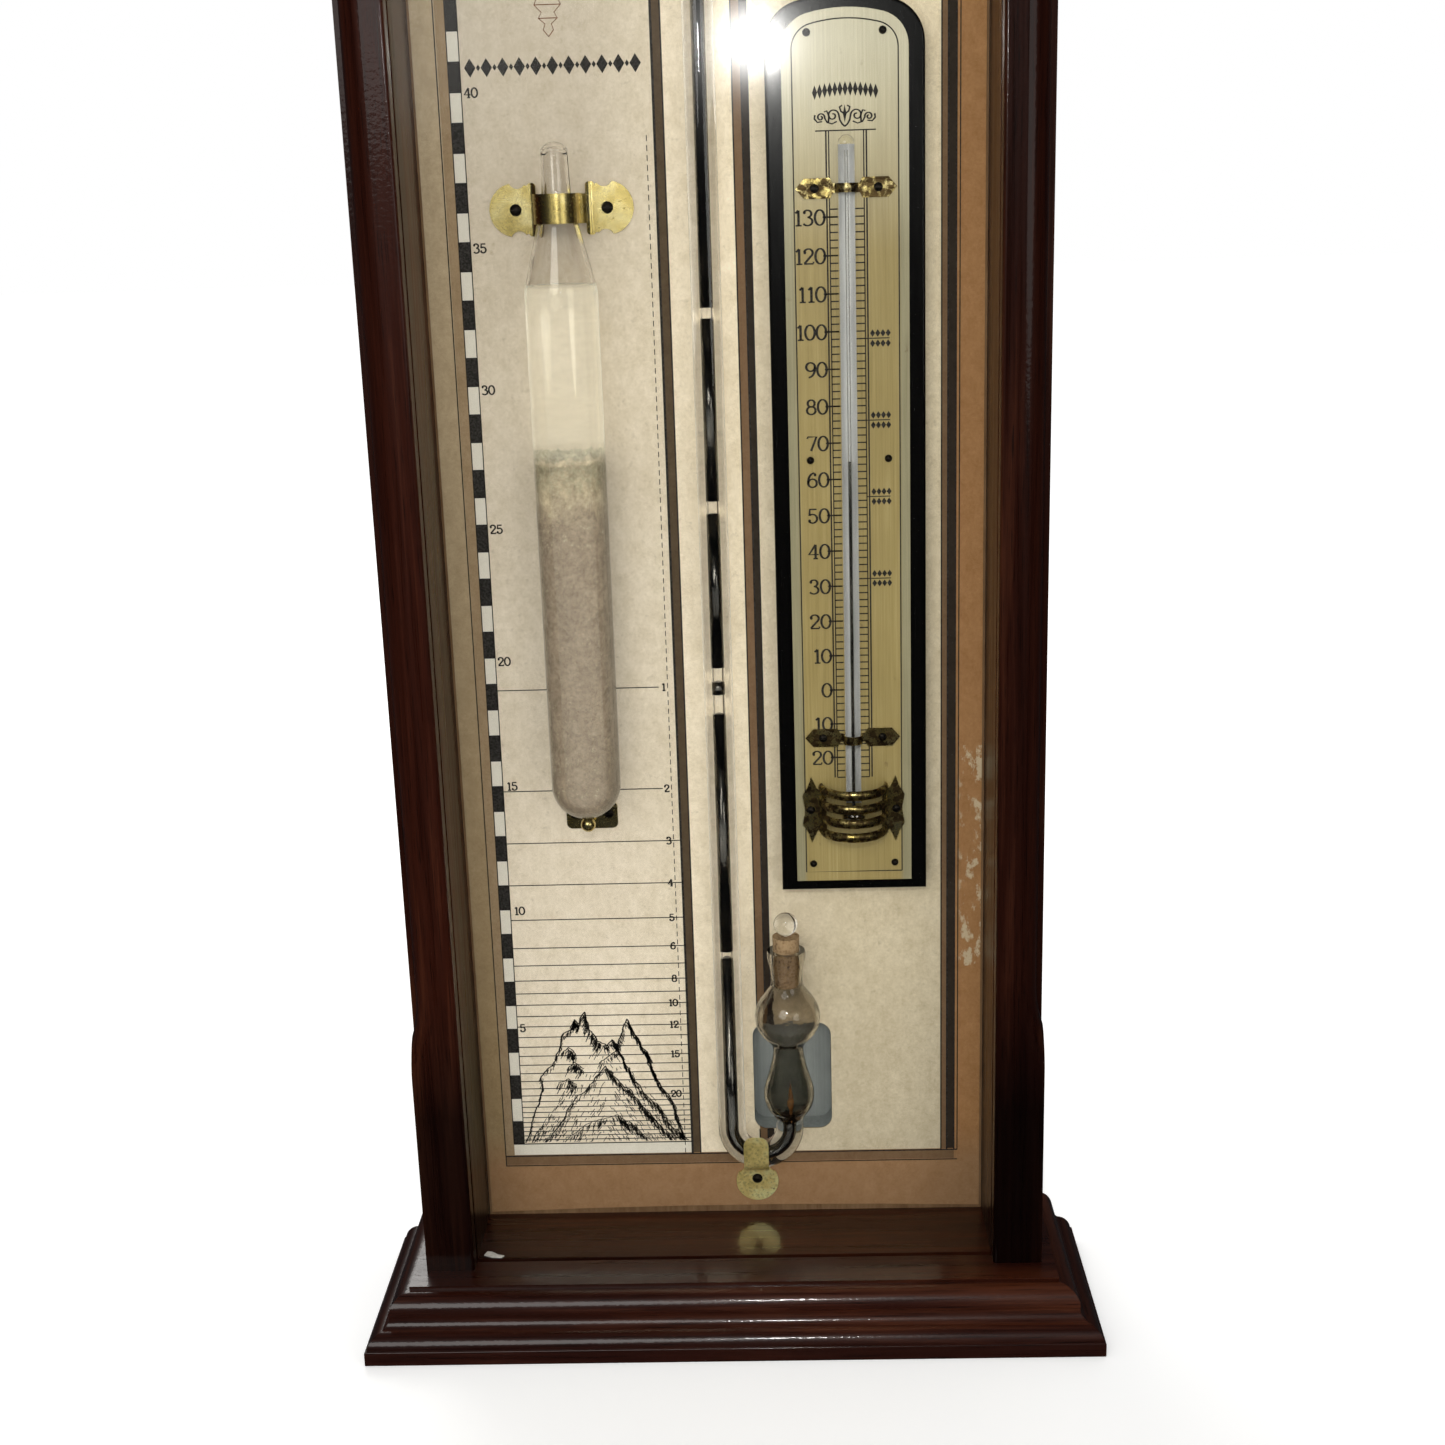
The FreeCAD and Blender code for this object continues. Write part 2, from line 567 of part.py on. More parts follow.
def storm_bracket():
    """Brass foot: a plate on the chart and a tongue whose ball carries the bottle."""
    z = BOTTLE_BOTTOM - 4.1
    plate = rounded_rectangle(BOTTLE_X - 9.4, BOTTLE_X + 9.4, z - 5, z + 5, 2.0, CHART_Y - 0.8, 0.8)
    ball = V(BOTTLE_X, BOTTLE_Y, BOTTLE_BOTTOM - 2.75)
    tongue = cylinder(1.3, V(BOTTLE_X, CHART_Y - 0.4, z - 2.6), ball)
    tongue = tongue.common(box(BOTTLE_X - 5, BOTTLE_X + 5, BOTTLE_Y - 5, CHART_Y, 0, BOTTLE_SHOULDER))
    return merged([plate, tongue, Part.makeSphere(2.7, ball)])


def build_storm_glass():
    inside = turned(bottle_profile(BOTTLE_WALL), BOTTLE_X, BOTTLE_Y)
    slab = (BOTTLE_X - 20, BOTTLE_X + 20, BOTTLE_Y - 20, BOTTLE_Y + 20)
    head_y = CHART_Y - 0.8
    clip_screws, clip_holes = split([screw_y(BOTTLE_X + s * STORM_CLIP_HOLE_X, head_y, STORM_CLIP_Z, 2.0, 1.0)
                                     for s in (-1, 1)])
    foot_screws, foot_holes = split([screw_y(BOTTLE_X + s * 6.2, head_y, BOTTLE_BOTTOM - 3.6, 1.7, 0.8, 0.9)
                                     for s in (-1, 1)])
    nodes["storm_bottle"] = turned(bottle_profile(0), BOTTLE_X, BOTTLE_Y).cut(inside)
    nodes["storm_liquid"] = inside.common(box(*slab, CRYSTAL_TOP, LIQUID_TOP))
    nodes["storm_crystals"] = inside.common(box(*slab, BOTTLE_BOTTOM, CRYSTAL_TOP))
    clip = saddle_clip(BOTTLE_X, BOTTLE_Y, STORM_CLIP_Z, 7.2, 4.8, 8.7, 8.8, 15.6)
    nodes["storm_clip"] = cut_all(clip, clip_holes)
    nodes["storm_clip_screws"] = group(clip_screws)
    nodes["storm_bracket"] = cut_all(storm_bracket(), foot_holes)
    nodes["storm_bracket_screws"] = group(foot_screws)
    driven.extend(clip_holes + foot_holes)


# ---------------------------------------------------------------- siphon barometer
def cistern_y(z):
    """The blown cistern leans forward between the limb and the upper bulb."""
    low, high = 66.0, 100.0
    t = min(1.0, max(0.0, (z - low) / (high - low)))
    return TUBE_Y - CISTERN_LEAN * t * t * (3 - 2 * t)


def blown(stations):
    """Smooth glass form through round sections, each given as height and radius."""
    rings = [Part.Wire(Part.makeCircle(r, V(CISTERN_X, cistern_y(z), z), V(0, 0, 1))) for z, r in stations]
    return Part.makeLoft(rings, True, False)


def u_tube(radius, top):
    """Both limbs and the bend, for the outside of the glass or for its bore."""
    section = Part.Face(Part.Wire(Part.makeCircle(radius, V(TUBE_X, TUBE_Y, U_CENTRE_Z), V(0, 0, 1))))
    bend = section.revolve(V(U_CENTRE_X, TUBE_Y, U_CENTRE_Z), V(0, 1, 0), -180)
    left = cylinder(radius, V(TUBE_X, TUBE_Y, U_CENTRE_Z), V(TUBE_X, TUBE_Y, top - radius))
    right = cylinder(radius, V(CISTERN_X, TUBE_Y, U_CENTRE_Z), V(CISTERN_X, TUBE_Y, CISTERN_BASE))
    dome = Part.makeSphere(radius, V(TUBE_X, TUBE_Y, top - radius))
    return bend, left, right, dome


def siphon_bottom_clip():
    """Brass hook from the chart, under the bend and up in front of it, with a round tab for its screw."""
    t = 0.8
    back, hook_r, bend = CHART_Y - t / 2, TUBE_R + 0.6, 2.0
    under = U_BOTTOM - 0.6
    front = TUBE_Y - hook_r
    top = under + hook_r + 9.5
    strip = bent_strip(20, -10, t, [
        ("line", (back, TAB_Z - TAB_R - 1), (back, under - bend)),
        ("arc", (back - bend, under - bend), bend, 0, 90),
        ("line", (back - bend, under), (TUBE_Y, under)), ("arc", (TUBE_Y, under + hook_r), hook_r, 180, 90),
        ("line", (front, under + hook_r), (front, top))])
    strip.rotate(V(0, 0, 0), V(1, 1, 1), 120)
    strip.translate(V(HOOK_X, 0, 0))
    strap = rounded_rectangle(HOOK_X - 4.7, HOOK_X + 4.7, TAB_Z, top, 3.4, 0, CHART_Y)
    outline = cut_all(merged([strap, hole_y(HOOK_X, TAB_Z, TAB_R, 0, CHART_Y)]),
                      [hole_y(HOOK_X + side * 7.4, TAB_Z + 6.6, 2.6, 0, CHART_Y) for side in (-1, 1)])
    return strip.common(outline)


def build_siphon():
    outer = blown(CISTERN_STATIONS)
    inner = blown(CISTERN_INNER_STATIONS)
    neck = cylinder(NECK_BORE_R, V(CISTERN_X, cistern_y(140), NECK_Z), V(CISTERN_X, cistern_y(140), 150))
    hollow = merged(list(u_tube(BORE_R, TUBE_TOP - TUBE_R + BORE_R)) + [inner])
    glass = merged(list(u_tube(TUBE_R, TUBE_TOP)) + [outer])
    nodes["siphon_tube"] = glass.cut(hollow).cut(neck)
    empties = [box(TUBE_X - 5, TUBE_X + 5, TUBE_Y - 5, TUBE_Y + 5, z0, z1)
               for z0, z1 in MERCURY_GAPS + ((MERCURY_TOP, TUBE_TOP),)]
    empties.append(box(CISTERN_X - 20, CISTERN_X + 20, TUBE_Y - 30, TUBE_Y + 20, MERCURY_POOL, 200))
    nodes["mercury_column"] = cut_all(hollow, empties)
    stem_r = 0.8
    y = cistern_y(140)
    cork = Part.makeCone(4.4, 4.95, CORK_TOP - NECK_Z - 0.2, V(CISTERN_X, y, NECK_Z + 0.2), V(0, 0, 1))
    stem = cylinder(stem_r, V(CISTERN_X, y, NECK_Z + 4), V(CISTERN_X, y, CORK_TOP + 2))
    nodes["cistern_cork"] = cork.cut(stem)
    nodes["ball_stopper"] = merged([stem, Part.makeSphere(4.35, V(CISTERN_X, y, CORK_TOP + 4.6))])
    hook_screw, hook_hole = screw_y(HOOK_X, CHART_Y - 0.8, TAB_Z + 1.2, 2.0, 1.3)
    nodes["siphon_bottom_clip"] = siphon_bottom_clip().cut(hook_hole)
    clips, screws, holes = [], [hook_screw], [hook_hole]
    for z in TUBE_CLIP_HEIGHTS:
        clip_screws, clip_holes = split([screw_y(TUBE_X + s * 12.6, CHART_Y - 0.8, z, 1.9, 1.0)
                                         for s in (-1, 1)])
        clips.append(cut_all(saddle_clip(TUBE_X, TUBE_Y, z, TUBE_R + 0.1, 3.6, 6.4, 5.8, 13.2), clip_holes))
        screws += clip_screws
        holes += clip_holes
    nodes["tube_clips"] = group(clips)
    nodes["siphon_clip_screws"] = group(screws)
    driven.extend(holes)


# ---------------------------------------------------------------- thermometer
def thermometer_strap(z, holes):
    """Thin brass strap over the thermometer tube, with pointed ends."""
    t, r, bend = 0.5, THERMO_TUBE_R + 0.3, 0.9
    back = SCALE_FACE_Y - t / 2
    x, y = THERMO_X, THERMO_TUBE_Y
    segments = [("arc", (x, y), r, 180, 180)]
    for side in (-1, 1):
        segments += [("line", (x + side * r, y), (x + side * r, back - bend)),
                     ("arc", (x + side * (r + bend), back - bend), bend, 90 if side > 0 else 0, 90),
                     ("line", (x + side * (r + bend), back), (x + side * 17.5, back))]
    strip = bent_strip(8, z - 4, t, segments)
    side_half, waist_half = 3.3, 1.5
    ends = [(4.4, waist_half), (5.4, side_half), (14.0, side_half), (16.9, 0.0)]
    ends += [(u, -v) for u, v in ends[-2::-1]]
    ends += [(-u, -v) for u, v in ends]
    outline = polygon_prism([V(x + u, 0, z + v) for u, v in ends], V(0, CHART_Y, 0))
    return cut_all(strip.common(outline), holes)


def bulb_guard(holes):
    """Louvred half-round cage over the bulb, with a fishtail flange each side."""
    x, y, t = THERMO_X, SCALE_FACE_Y, 0.6
    bars = 4
    pitch = (GUARD_Z1 - GUARD_Z0 + 1.9) / bars
    bar_h = pitch - 1.9
    pieces = []
    for i in range(bars):
        z = GUARD_Z0 + i * pitch
        inner, outer = V(x + GUARD_R - t, y, 0), V(x + GUARD_R, y, 0)
        low, high, middle = V(0, 0, z), V(0, 0, z + bar_h), V(0.8, 0, z + bar_h / 2)
        section = [line(inner + low, outer + low), arc(outer + low, outer + middle, outer + high),
                   line(outer + high, inner + high), arc(inner + high, inner + middle, inner + low)]
        pieces.append(Part.Face(wire(section)).revolve(V(x, y, 0), V(0, 0, 1), -180))
    for start in (180, 332):
        ring = Part.makeCylinder(GUARD_R, GUARD_Z1 - GUARD_Z0, V(x, y, GUARD_Z0), V(0, 0, 1), 28)
        ring = ring.cut(Part.makeCylinder(GUARD_R - t, 60, V(x, y, GUARD_Z0 - 5)))
        ring.rotate(V(x, y, 0), V(0, 0, 1), start)
        pieces.append(ring)
    tail = [(11.2, -6.5), (13.2, -8.0), (15.2, -12.3), (16.4, -8.6), (18.4, -5.4), (17.4, 0),
            (18.4, 5.4), (16.4, 8.6), (15.2, 12.3), (13.2, 8.0), (11.2, 6.5)]
    for side in (-1, 1):
        corners = [V(x + side * u, y - t, BULB_Z + 2 + v) for u, v in tail]
        pieces.append(polygon_prism(corners, V(0, t, 0)))
    return cut_all(merged(pieces), holes)


def build_thermometer():
    x = THERMO_X
    strap_heights = (216.9, 406.1)
    sides = (-1, 1)
    strap_screws, strap_holes = split([screw_y(x + s * 10.6, SCALE_FACE_Y - 0.5, z, 1.5, 0.8, 0.8, 6)
                                       for z in strap_heights for s in sides])
    guard_screws, guard_holes = split([screw_y(x + s * 15.4, SCALE_FACE_Y - 0.6, BULB_Z + 2, 1.5, 0.8, 0.8, 6)
                                       for s in sides])
    pins, pin_holes = split([pin_y(x + s * u, SCALE_FACE_Y, z) for u, z in PLATE_PINS for s in sides])
    pocket = Part.makeSphere(BULB_R + 0.4, V(x, THERMO_TUBE_Y, BULB_Z))
    through = strap_holes + guard_holes + pin_holes
    board = arched_plate(x, THERMO_BOARD_HALF_W, THERMO_BOARD_Z0, THERMO_BOARD_Z1, 14, 60,
                         THERMO_FACE_Y, THERMO_BOARD_T)
    front = [e for e in board.Edges if abs(e.CenterOfMass.y - THERMO_FACE_Y) < 0.01]
    board = board.makeFillet(1.0, front)
    plate = arched_plate(x, SCALE_HALF_W, SCALE_Z0, SCALE_Z1, 11, 50, SCALE_FACE_Y, SCALE_T)
    y = THERMO_TUBE_Y
    glass = merged([Part.makeSphere(BULB_R, V(x, y, BULB_Z)),
                    cylinder(THERMO_TUBE_R, V(x, y, BULB_Z), V(x, y, THERMO_TUBE_TOP - THERMO_TUBE_R)),
                    Part.makeSphere(THERMO_TUBE_R, V(x, y, THERMO_TUBE_TOP - THERMO_TUBE_R))])
    reservoir = Part.makeSphere(BULB_R - 0.7, V(x, y, BULB_Z))
    bore = cylinder(0.4, V(x, y, BULB_Z), V(x, y, THERMO_TUBE_TOP - 5))
    thread = cylinder(0.4, V(x, y, BULB_Z), V(x, y, THREAD_TOP))
    nodes["thermometer_board"] = cut_all(board, [pocket] + through)
    nodes["thermometer_scale"] = cut_all(plate, [pocket] + through)
    nodes["thermometer_tube"] = glass.cut(merged([reservoir, bore]))
    nodes["thermometer_mercury"] = merged([reservoir, thread])
    nodes["thermometer_upper_strap"] = thermometer_strap(strap_heights[1], strap_holes)
    nodes["thermometer_lower_strap"] = thermometer_strap(strap_heights[0], strap_holes)
    nodes["bulb_guard"] = bulb_guard(guard_holes)
    nodes["thermometer_screws"] = group(strap_screws + guard_screws)
    nodes["thermometer_pins"] = group(pins)
    driven.extend(pin_holes)


# ---------------------------------------------------------------- scales and setting pointers
def rack():
    """Rack bar with straight-sided teeth on its front, meshing with the pinion at PINION_Z."""
    pitch = math.pi * MODULE
    addendum, dedendum = 0.85 * MODULE, 1.2 * MODULE
    lean = math.tan(math.radians(20))
    half = pitch / 4 - BACKLASH / 2
    tip, root = half - addendum * lean, half + dedendum * lean
    tip_y, root_y = RACK_PITCH_Y - addendum, RACK_PITCH_Y + dedendum
    first = math.ceil((RACK_BOTTOM + 1.5 - PINION_Z) / pitch)
    last = math.floor((RACK_TOP - 1.5 - PINION_Z) / pitch)
    x = RACK_X - RACK_W / 2
    points = [V(x, RACK_BACK_Y, RACK_BOTTOM), V(x, root_y, RACK_BOTTOM)]
    for k in range(first, last + 1):
        z = PINION_Z + k * pitch
        points += [V(x, root_y, z - root), V(x, tip_y, z - tip), V(x, tip_y, z + tip), V(x, root_y, z + root)]
    points += [V(x, root_y, RACK_TOP), V(x, RACK_BACK_Y, RACK_TOP)]
    return polygon_prism(points, V(RACK_W, 0, 0))


def pinion():
    """Involute pinion about the X axis through the arbor, with a tooth space facing the rack."""
    base_r = PITCH_R * math.cos(math.radians(20))
    tip_r, root_r = PITCH_R + 0.95 * MODULE, PITCH_R - 1.2 * MODULE
    half_pitch_angle = math.pi / (2 * PINION_TEETH) - BACKLASH / 2 / PITCH_R

    def involute_angle(r):
        turn = math.sqrt(max(0.0, (r / base_r) ** 2 - 1))
        return turn - math.atan(turn)

    def point(r, angle):
        return V(r * math.cos(angle), r * math.sin(angle), 0)

    edges = []
    steps = 4
    radii = [base_r + (tip_r - base_r) * i / steps for i in range(steps + 1)]
    step_angle = 2 * math.pi / PINION_TEETH
    for k in range(PINION_TEETH):
        middle = (k + 0.5) * step_angle
        spread = [half_pitch_angle + involute_angle(PITCH_R) - involute_angle(r) for r in radii]
        rising = [point(r, middle - a) for r, a in zip(radii, spread)]
        falling = [point(r, middle + a) for r, a in zip(radii, spread)][::-1]
        foot_in, foot_out = point(root_r, middle - spread[0]), point(root_r, middle + spread[0])
        curve_in, curve_out = Part.BSplineCurve(), Part.BSplineCurve()
        curve_in.interpolate(rising)
        curve_out.interpolate(falling)
        next_foot = point(root_r, middle + step_angle - spread[0])
        edges += [line(foot_in, rising[0]), curve_in.toShape(),
                  arc(rising[-1], point(tip_r, middle), falling[0]),
                  curve_out.toShape(), line(falling[-1], foot_out),
                  arc(foot_out, point(root_r, middle + step_angle / 2), next_foot)]
    gear = Part.Face(Part.Wire(edges)).extrude(V(0, 0, RACK_W + 0.6))
    gear.rotate(V(0, 0, 0), V(1, 1, 1), 120)
    gear.translate(V(RACK_X - RACK_W / 2 - 0.3, ARBOR_Y, PINION_Z))
    return gear


def pointer():
    """Setting pointer: blade over the card, soldered to its rack and to two collars on the guide rod."""
    pieces = [rack()]
    for z in (RACK_BOTTOM, RACK_TOP - COLLAR_H):
        pieces.append(cylinder(3.0, V(ROD_X, ROD_Y, z), V(ROD_X, ROD_Y, z + COLLAR_H)))
        pieces.append(box(RACK_X + RACK_W / 2 - 0.5, ROD_X, ROD_Y - 1.2, ROD_Y + 1.2, z, z + COLLAR_H))
    blade = [(54.5, -2.6), (24, -1.4), (19, -3.4), (9.5, 0), (19, 3.4), (24, 1.4), (54.5, 2.6)]
    pieces.append(polygon_prism([V(x, RACK_BACK_Y - 0.1, POINTER_Z + z) for x, z in blade], V(0, 0.9, 0)))
    rod_hole = cylinder(ROD_R + 0.05, V(ROD_X, ROD_Y, RACK_BOTTOM - 5), V(ROD_X, ROD_Y, RACK_TOP + 5))
    return merged(pieces).cut(rod_hole)


def rod_bracket(z):
    """Brass post on a foot that holds one end of a guide rod."""
    foot = rounded_rectangle(ROD_X - 4, ROD_X + 13, z, z + 6, 1.5, CHART_Y - 1.2, 1.2)
    post = box(ROD_X - 3, ROD_X + 3, ROD_Y - 3, CHART_Y, z, z + 6)
    return merged([foot, post])


def arbor_bracket():
    """Brass upright on a foot that carries the inner end of a pinion arbor."""
    x0, x1 = RACK_X + RACK_W / 2 + 1.8, RACK_X + RACK_W / 2 + 3.8
    upright = box(x0, x1, ARBOR_Y - 4.5, CHART_Y, PINION_Z - 4.5, PINION_Z + 4.5)
    ends = [e for e in upright.Edges
            if abs(e.tangentAt(e.FirstParameter).x) > 0.99 and e.CenterOfMass.y < ARBOR_Y]
    foot = box(x1 - 0.5, x1 + 12, CHART_Y - 1.2, CHART_Y, PINION_Z - 4.5, PINION_Z + 4.5)
    hole = arbor_cylinder(ARBOR_R + 0.05, x0 - 1, x1 + 1)
    return merged([upright.makeFillet(4.0, ends), foot]).cut(hole)


def setting_knob():
    """Turned brass knob with a fluted rim, bored for the arbor."""
    x0, x1 = POST_OUTER_X + BUSH_FLANGE_T + 0.4, KNOB_END_X
    body = cylinder(KNOB_R, V(x0 + 3, ARBOR_Y, PINION_Z), V(x1, ARBOR_Y, PINION_Z))
    body = body.makeFillet(1.4, [e for e in body.Edges if abs(e.CenterOfMass.x - x1) < 0.01])
    neck = cylinder(KNOB_R * 0.55, V(x0, ARBOR_Y, PINION_Z), V(x0 + 4, ARBOR_Y, PINION_Z))
    flutes = []
    count = 24
    for k in range(count):
        turn = 2 * math.pi * k / count
        y, z = ARBOR_Y + KNOB_R * math.cos(turn), PINION_Z + KNOB_R * math.sin(turn)
        flutes.append(cylinder(0.55, V(x0 + 3.8, y, z), V(x1 - 1.6, y, z)))
    return cut_all(merged([body, neck]), flutes)


def build_pointers():
    rod_z0, rod_z1 = RACK_BOTTOM - POINTER_TRAVEL - ROD_END, RACK_TOP + POINTER_TRAVEL + ROD_END
    rod = cylinder(ROD_R, V(ROD_X, ROD_Y, rod_z0), V(ROD_X, ROD_Y, rod_z1))
    bracket_heights = (rod_z0, rod_z1 - 6)
    brackets = [rod_bracket(z).cut(rod) for z in bracket_heights]
    screw_places = [(ROD_X + 8.5, z + 3) for z in bracket_heights] + [(RACK_X + RACK_W / 2 + 10.5, PINION_Z)]
    screws, screw_holes = split([flat_screw_y(x, CHART_Y - 1.2, z, 2.0, 1.0, 8) for x, z in screw_places])
    card = rounded_rectangle(CARD_X0, CARD_X1, CARD_Z0, CARD_Z1, 2.0, CHART_Y - 1.0, 1.0)
    pins, pin_holes = split([pin_y(x, CHART_Y - 1.0, z, 1.1, 0.5, 8) for x in (CARD_X0 + 3, CARD_X1 - 3)
                             for z in (CARD_Z0 + 3, CARD_Z1 - 3)])
    arbor = arbor_cylinder(ARBOR_R, RACK_X - RACK_W / 2 - 1.5, KNOB_END_X - 1.0)
    bush = merged([arbor_cylinder(BUSH_R, POST_INNER_X, POST_OUTER_X),
                   arbor_cylinder(BUSH_R + 2, POST_OUTER_X, POST_OUTER_X + BUSH_FLANGE_T)])
    bush = bush.cut(arbor_cylinder(ARBOR_R + 0.05, 90, 130))
    pieces = {"scale_card": cut_all(card, pin_holes), "pointer": pointer(),
              "pinion_arbor": merged([pinion(), arbor]),
              "setting_knob": setting_knob().cut(arbor)}
    for name, shape in pieces.items():
        nodes["right_" + name] = shape
        nodes["left_" + name] = mirrored_x(shape)
    shared = {"guide_rods": [rod], "guide_rod_brackets": [cut_all(b, screw_holes) for b in brackets],
              "arbor_brackets": [cut_all(arbor_bracket(), screw_holes)], "bracket_screws": screws,
              "card_pins": pins, "arbor_bushes": [bush]}
    for name, shapes in shared.items():
        nodes[name] = group(shapes + [mirrored_x(s) for s in shapes])
    holes = screw_holes + pin_holes
    driven.extend(holes + [mirrored_x(h) for h in holes])


def main():
    os.makedirs("parts", exist_ok=True)
    build_storm_glass()
    build_siphon()
    build_thermometer()
    build_pointers()
    build_chart()
    build_case()
    for name, shape in nodes.items():
        shape.exportStep("parts/" + name + ".step")
        bound = shape.BoundBox
        print(f"{name:26s} solids {len(shape.Solids)} valid {shape.isValid()} volume {shape.Volume:10.1f} "
              f"z {bound.ZMin:6.1f} {bound.ZMax:6.1f}")


main()
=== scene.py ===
import json
import math
import random

import bmesh
import bpy
from mathutils import Euler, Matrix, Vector, noise


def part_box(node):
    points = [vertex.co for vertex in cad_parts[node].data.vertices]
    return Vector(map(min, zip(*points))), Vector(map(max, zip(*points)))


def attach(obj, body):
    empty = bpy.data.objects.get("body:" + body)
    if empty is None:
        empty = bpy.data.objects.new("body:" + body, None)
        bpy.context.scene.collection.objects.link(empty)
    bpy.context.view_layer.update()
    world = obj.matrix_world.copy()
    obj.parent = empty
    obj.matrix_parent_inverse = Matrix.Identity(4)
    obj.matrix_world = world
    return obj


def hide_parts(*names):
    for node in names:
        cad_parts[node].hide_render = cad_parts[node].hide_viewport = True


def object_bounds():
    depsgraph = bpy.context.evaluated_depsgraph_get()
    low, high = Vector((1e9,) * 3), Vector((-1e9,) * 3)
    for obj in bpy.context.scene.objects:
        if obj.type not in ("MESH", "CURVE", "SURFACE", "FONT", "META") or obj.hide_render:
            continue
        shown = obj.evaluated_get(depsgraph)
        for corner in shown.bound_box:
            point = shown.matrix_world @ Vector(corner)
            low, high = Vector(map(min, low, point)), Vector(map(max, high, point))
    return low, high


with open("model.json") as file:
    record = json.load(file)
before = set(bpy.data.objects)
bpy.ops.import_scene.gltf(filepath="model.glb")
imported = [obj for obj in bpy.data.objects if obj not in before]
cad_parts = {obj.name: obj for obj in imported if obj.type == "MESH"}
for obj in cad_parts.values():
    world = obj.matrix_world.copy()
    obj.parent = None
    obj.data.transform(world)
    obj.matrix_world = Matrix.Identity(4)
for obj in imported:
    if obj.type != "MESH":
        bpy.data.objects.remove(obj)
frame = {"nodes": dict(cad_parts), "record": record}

nodes = frame["nodes"]
cad_box = [list(corner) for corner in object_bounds()]
MM = 0.001


# ---------------------------------------------------------------- node materials
class Material:
    """A Principled material and short calls that wire procedural patterns into it."""

    def __init__(self, name, **values):
        self.material = bpy.data.materials.new(name)
        self.material.use_nodes = True
        self.tree = self.material.node_tree
        self.bsdf = self.tree.nodes["Principled BSDF"]
        self.output = self.tree.nodes["Material Output"]
        coordinates = self.tree.nodes.new("ShaderNodeTexCoord")
        self.place = coordinates.outputs["Object"]
        for socket, value in values.items():
            self.bsdf.inputs[socket.replace("_", " ").title().replace("Ior", "IOR")].default_value = value

    def node(self, kind, inputs=(), **settings):
        made = self.tree.nodes.new("ShaderNode" + kind)
        for key, value in settings.items():
            setattr(made, key, value)
        for socket, value in dict(inputs).items():
            if isinstance(value, bpy.types.NodeSocket):
                self.tree.links.new(value, made.inputs[socket])
            else:
                made.inputs[socket].default_value = value
        return made

    def stretched(self, scale, shift=(0, 0, 0)):
        """Object coordinates multiplied by scale, in cycles per metre, one number or one per axis."""
        scale = scale if isinstance(scale, tuple) else (scale,) * 3
        inputs = {"Vector": self.place, "Scale": scale, "Location": shift}
        return self.node("Mapping", inputs).outputs["Vector"]

    def noise(self, scale, detail=4.0, rough=0.55, distortion=0.0, shift=(0, 0, 0)):
        inputs = {"Vector": self.stretched(scale, shift), "Scale": 1.0, "Detail": detail, "Roughness": rough,
                  "Distortion": distortion}
        return self.node("TexNoise", inputs).outputs["Fac"]

    def cells(self, scale, feature="F1", randomness=1.0):
        inputs = {"Vector": self.stretched(scale), "Scale": 1.0, "Randomness": randomness}
        return self.node("TexVoronoi", inputs, feature=feature).outputs["Distance"]

    def math(self, operation, a, b=0.0):
        return self.node("Math", {0: a, 1: b}, operation=operation, use_clamp=False).outputs[0]

    def times(self, a, b):
        return self.math("MULTIPLY", a, b)

    def plus(self, a, b):
        return self.math("ADD", a, b)

    def fade(self, value, low, high, to_low=0.0, to_high=1.0):
        inputs = {"Value": value, "From Min": low, "From Max": high, "To Min": to_low, "To Max": to_high}
        return self.node("MapRange", inputs, clamp=True).outputs["Result"]

    def inside(self, value, low, high):
        """1 where value lies between low and high, else 0."""
        return self.times(self.math("GREATER_THAN", value, low), self.math("LESS_THAN", value, high))

    def axis(self, name):
        split = self.node("SeparateXYZ", {"Vector": self.place})
        return split.outputs[name]

    def ramp(self, value, stops):
        made = self.node("ValToRGB", {"Fac": value})
        line = made.color_ramp
        while len(line.elements) < len(stops):
            line.elements.new(0.5)
        for element, (place, colour) in zip(line.elements, stops):
            element.position = place
            element.color = (*colour, 1.0)
        return made.outputs["Color"]

    def mix(self, share, a, b, blend="MIX"):
        made = self.node("Mix", data_type="RGBA", blend_type=blend)
        for socket, value in (("Factor_Float", share), ("A_Color", a), ("B_Color", b)):
            target = next(s for s in made.inputs if s.identifier == socket)
            if isinstance(value, bpy.types.NodeSocket):
                self.tree.links.new(value, target)
            elif socket == "Factor_Float":
                target.default_value = value
            else:
                target.default_value = (*value, 1.0)
        return next(s for s in made.outputs if s.identifier == "Result_Color")

    def scaled(self, colour, gain):
        """A colour multiplied by one number."""
        level = self.node("CombineColor", {0: gain, 1: gain, 2: gain}).outputs[0]
        return self.mix(1.0, colour, level, "MULTIPLY")

    def colour(self, value):
        self.tree.links.new(value, self.bsdf.inputs["Base Color"])

    def rough(self, value):
        self.tree.links.new(value, self.bsdf.inputs["Roughness"])

    def bump(self, height, distance, strength=1.0, socket="Normal"):
        made = self.node("Bump", {"Height": height, "Distance": distance, "Strength": strength})
        self.tree.links.new(made.outputs["Normal"], self.bsdf.inputs[socket])

    def clear_to_lamps(self, tint):
        """Lets light through to what stands behind the glass."""
        path = self.node("LightPath").outputs["Is Shadow Ray"]
        see = self.node("BsdfTransparent", {"Color": (*tint, 1.0)}).outputs["BSDF"]
        both = self.node("MixShader", {0: path, 1: self.bsdf.outputs["BSDF"], 2: see})
        self.tree.links.new(both.outputs["Shader"], self.output.inputs["Surface"])


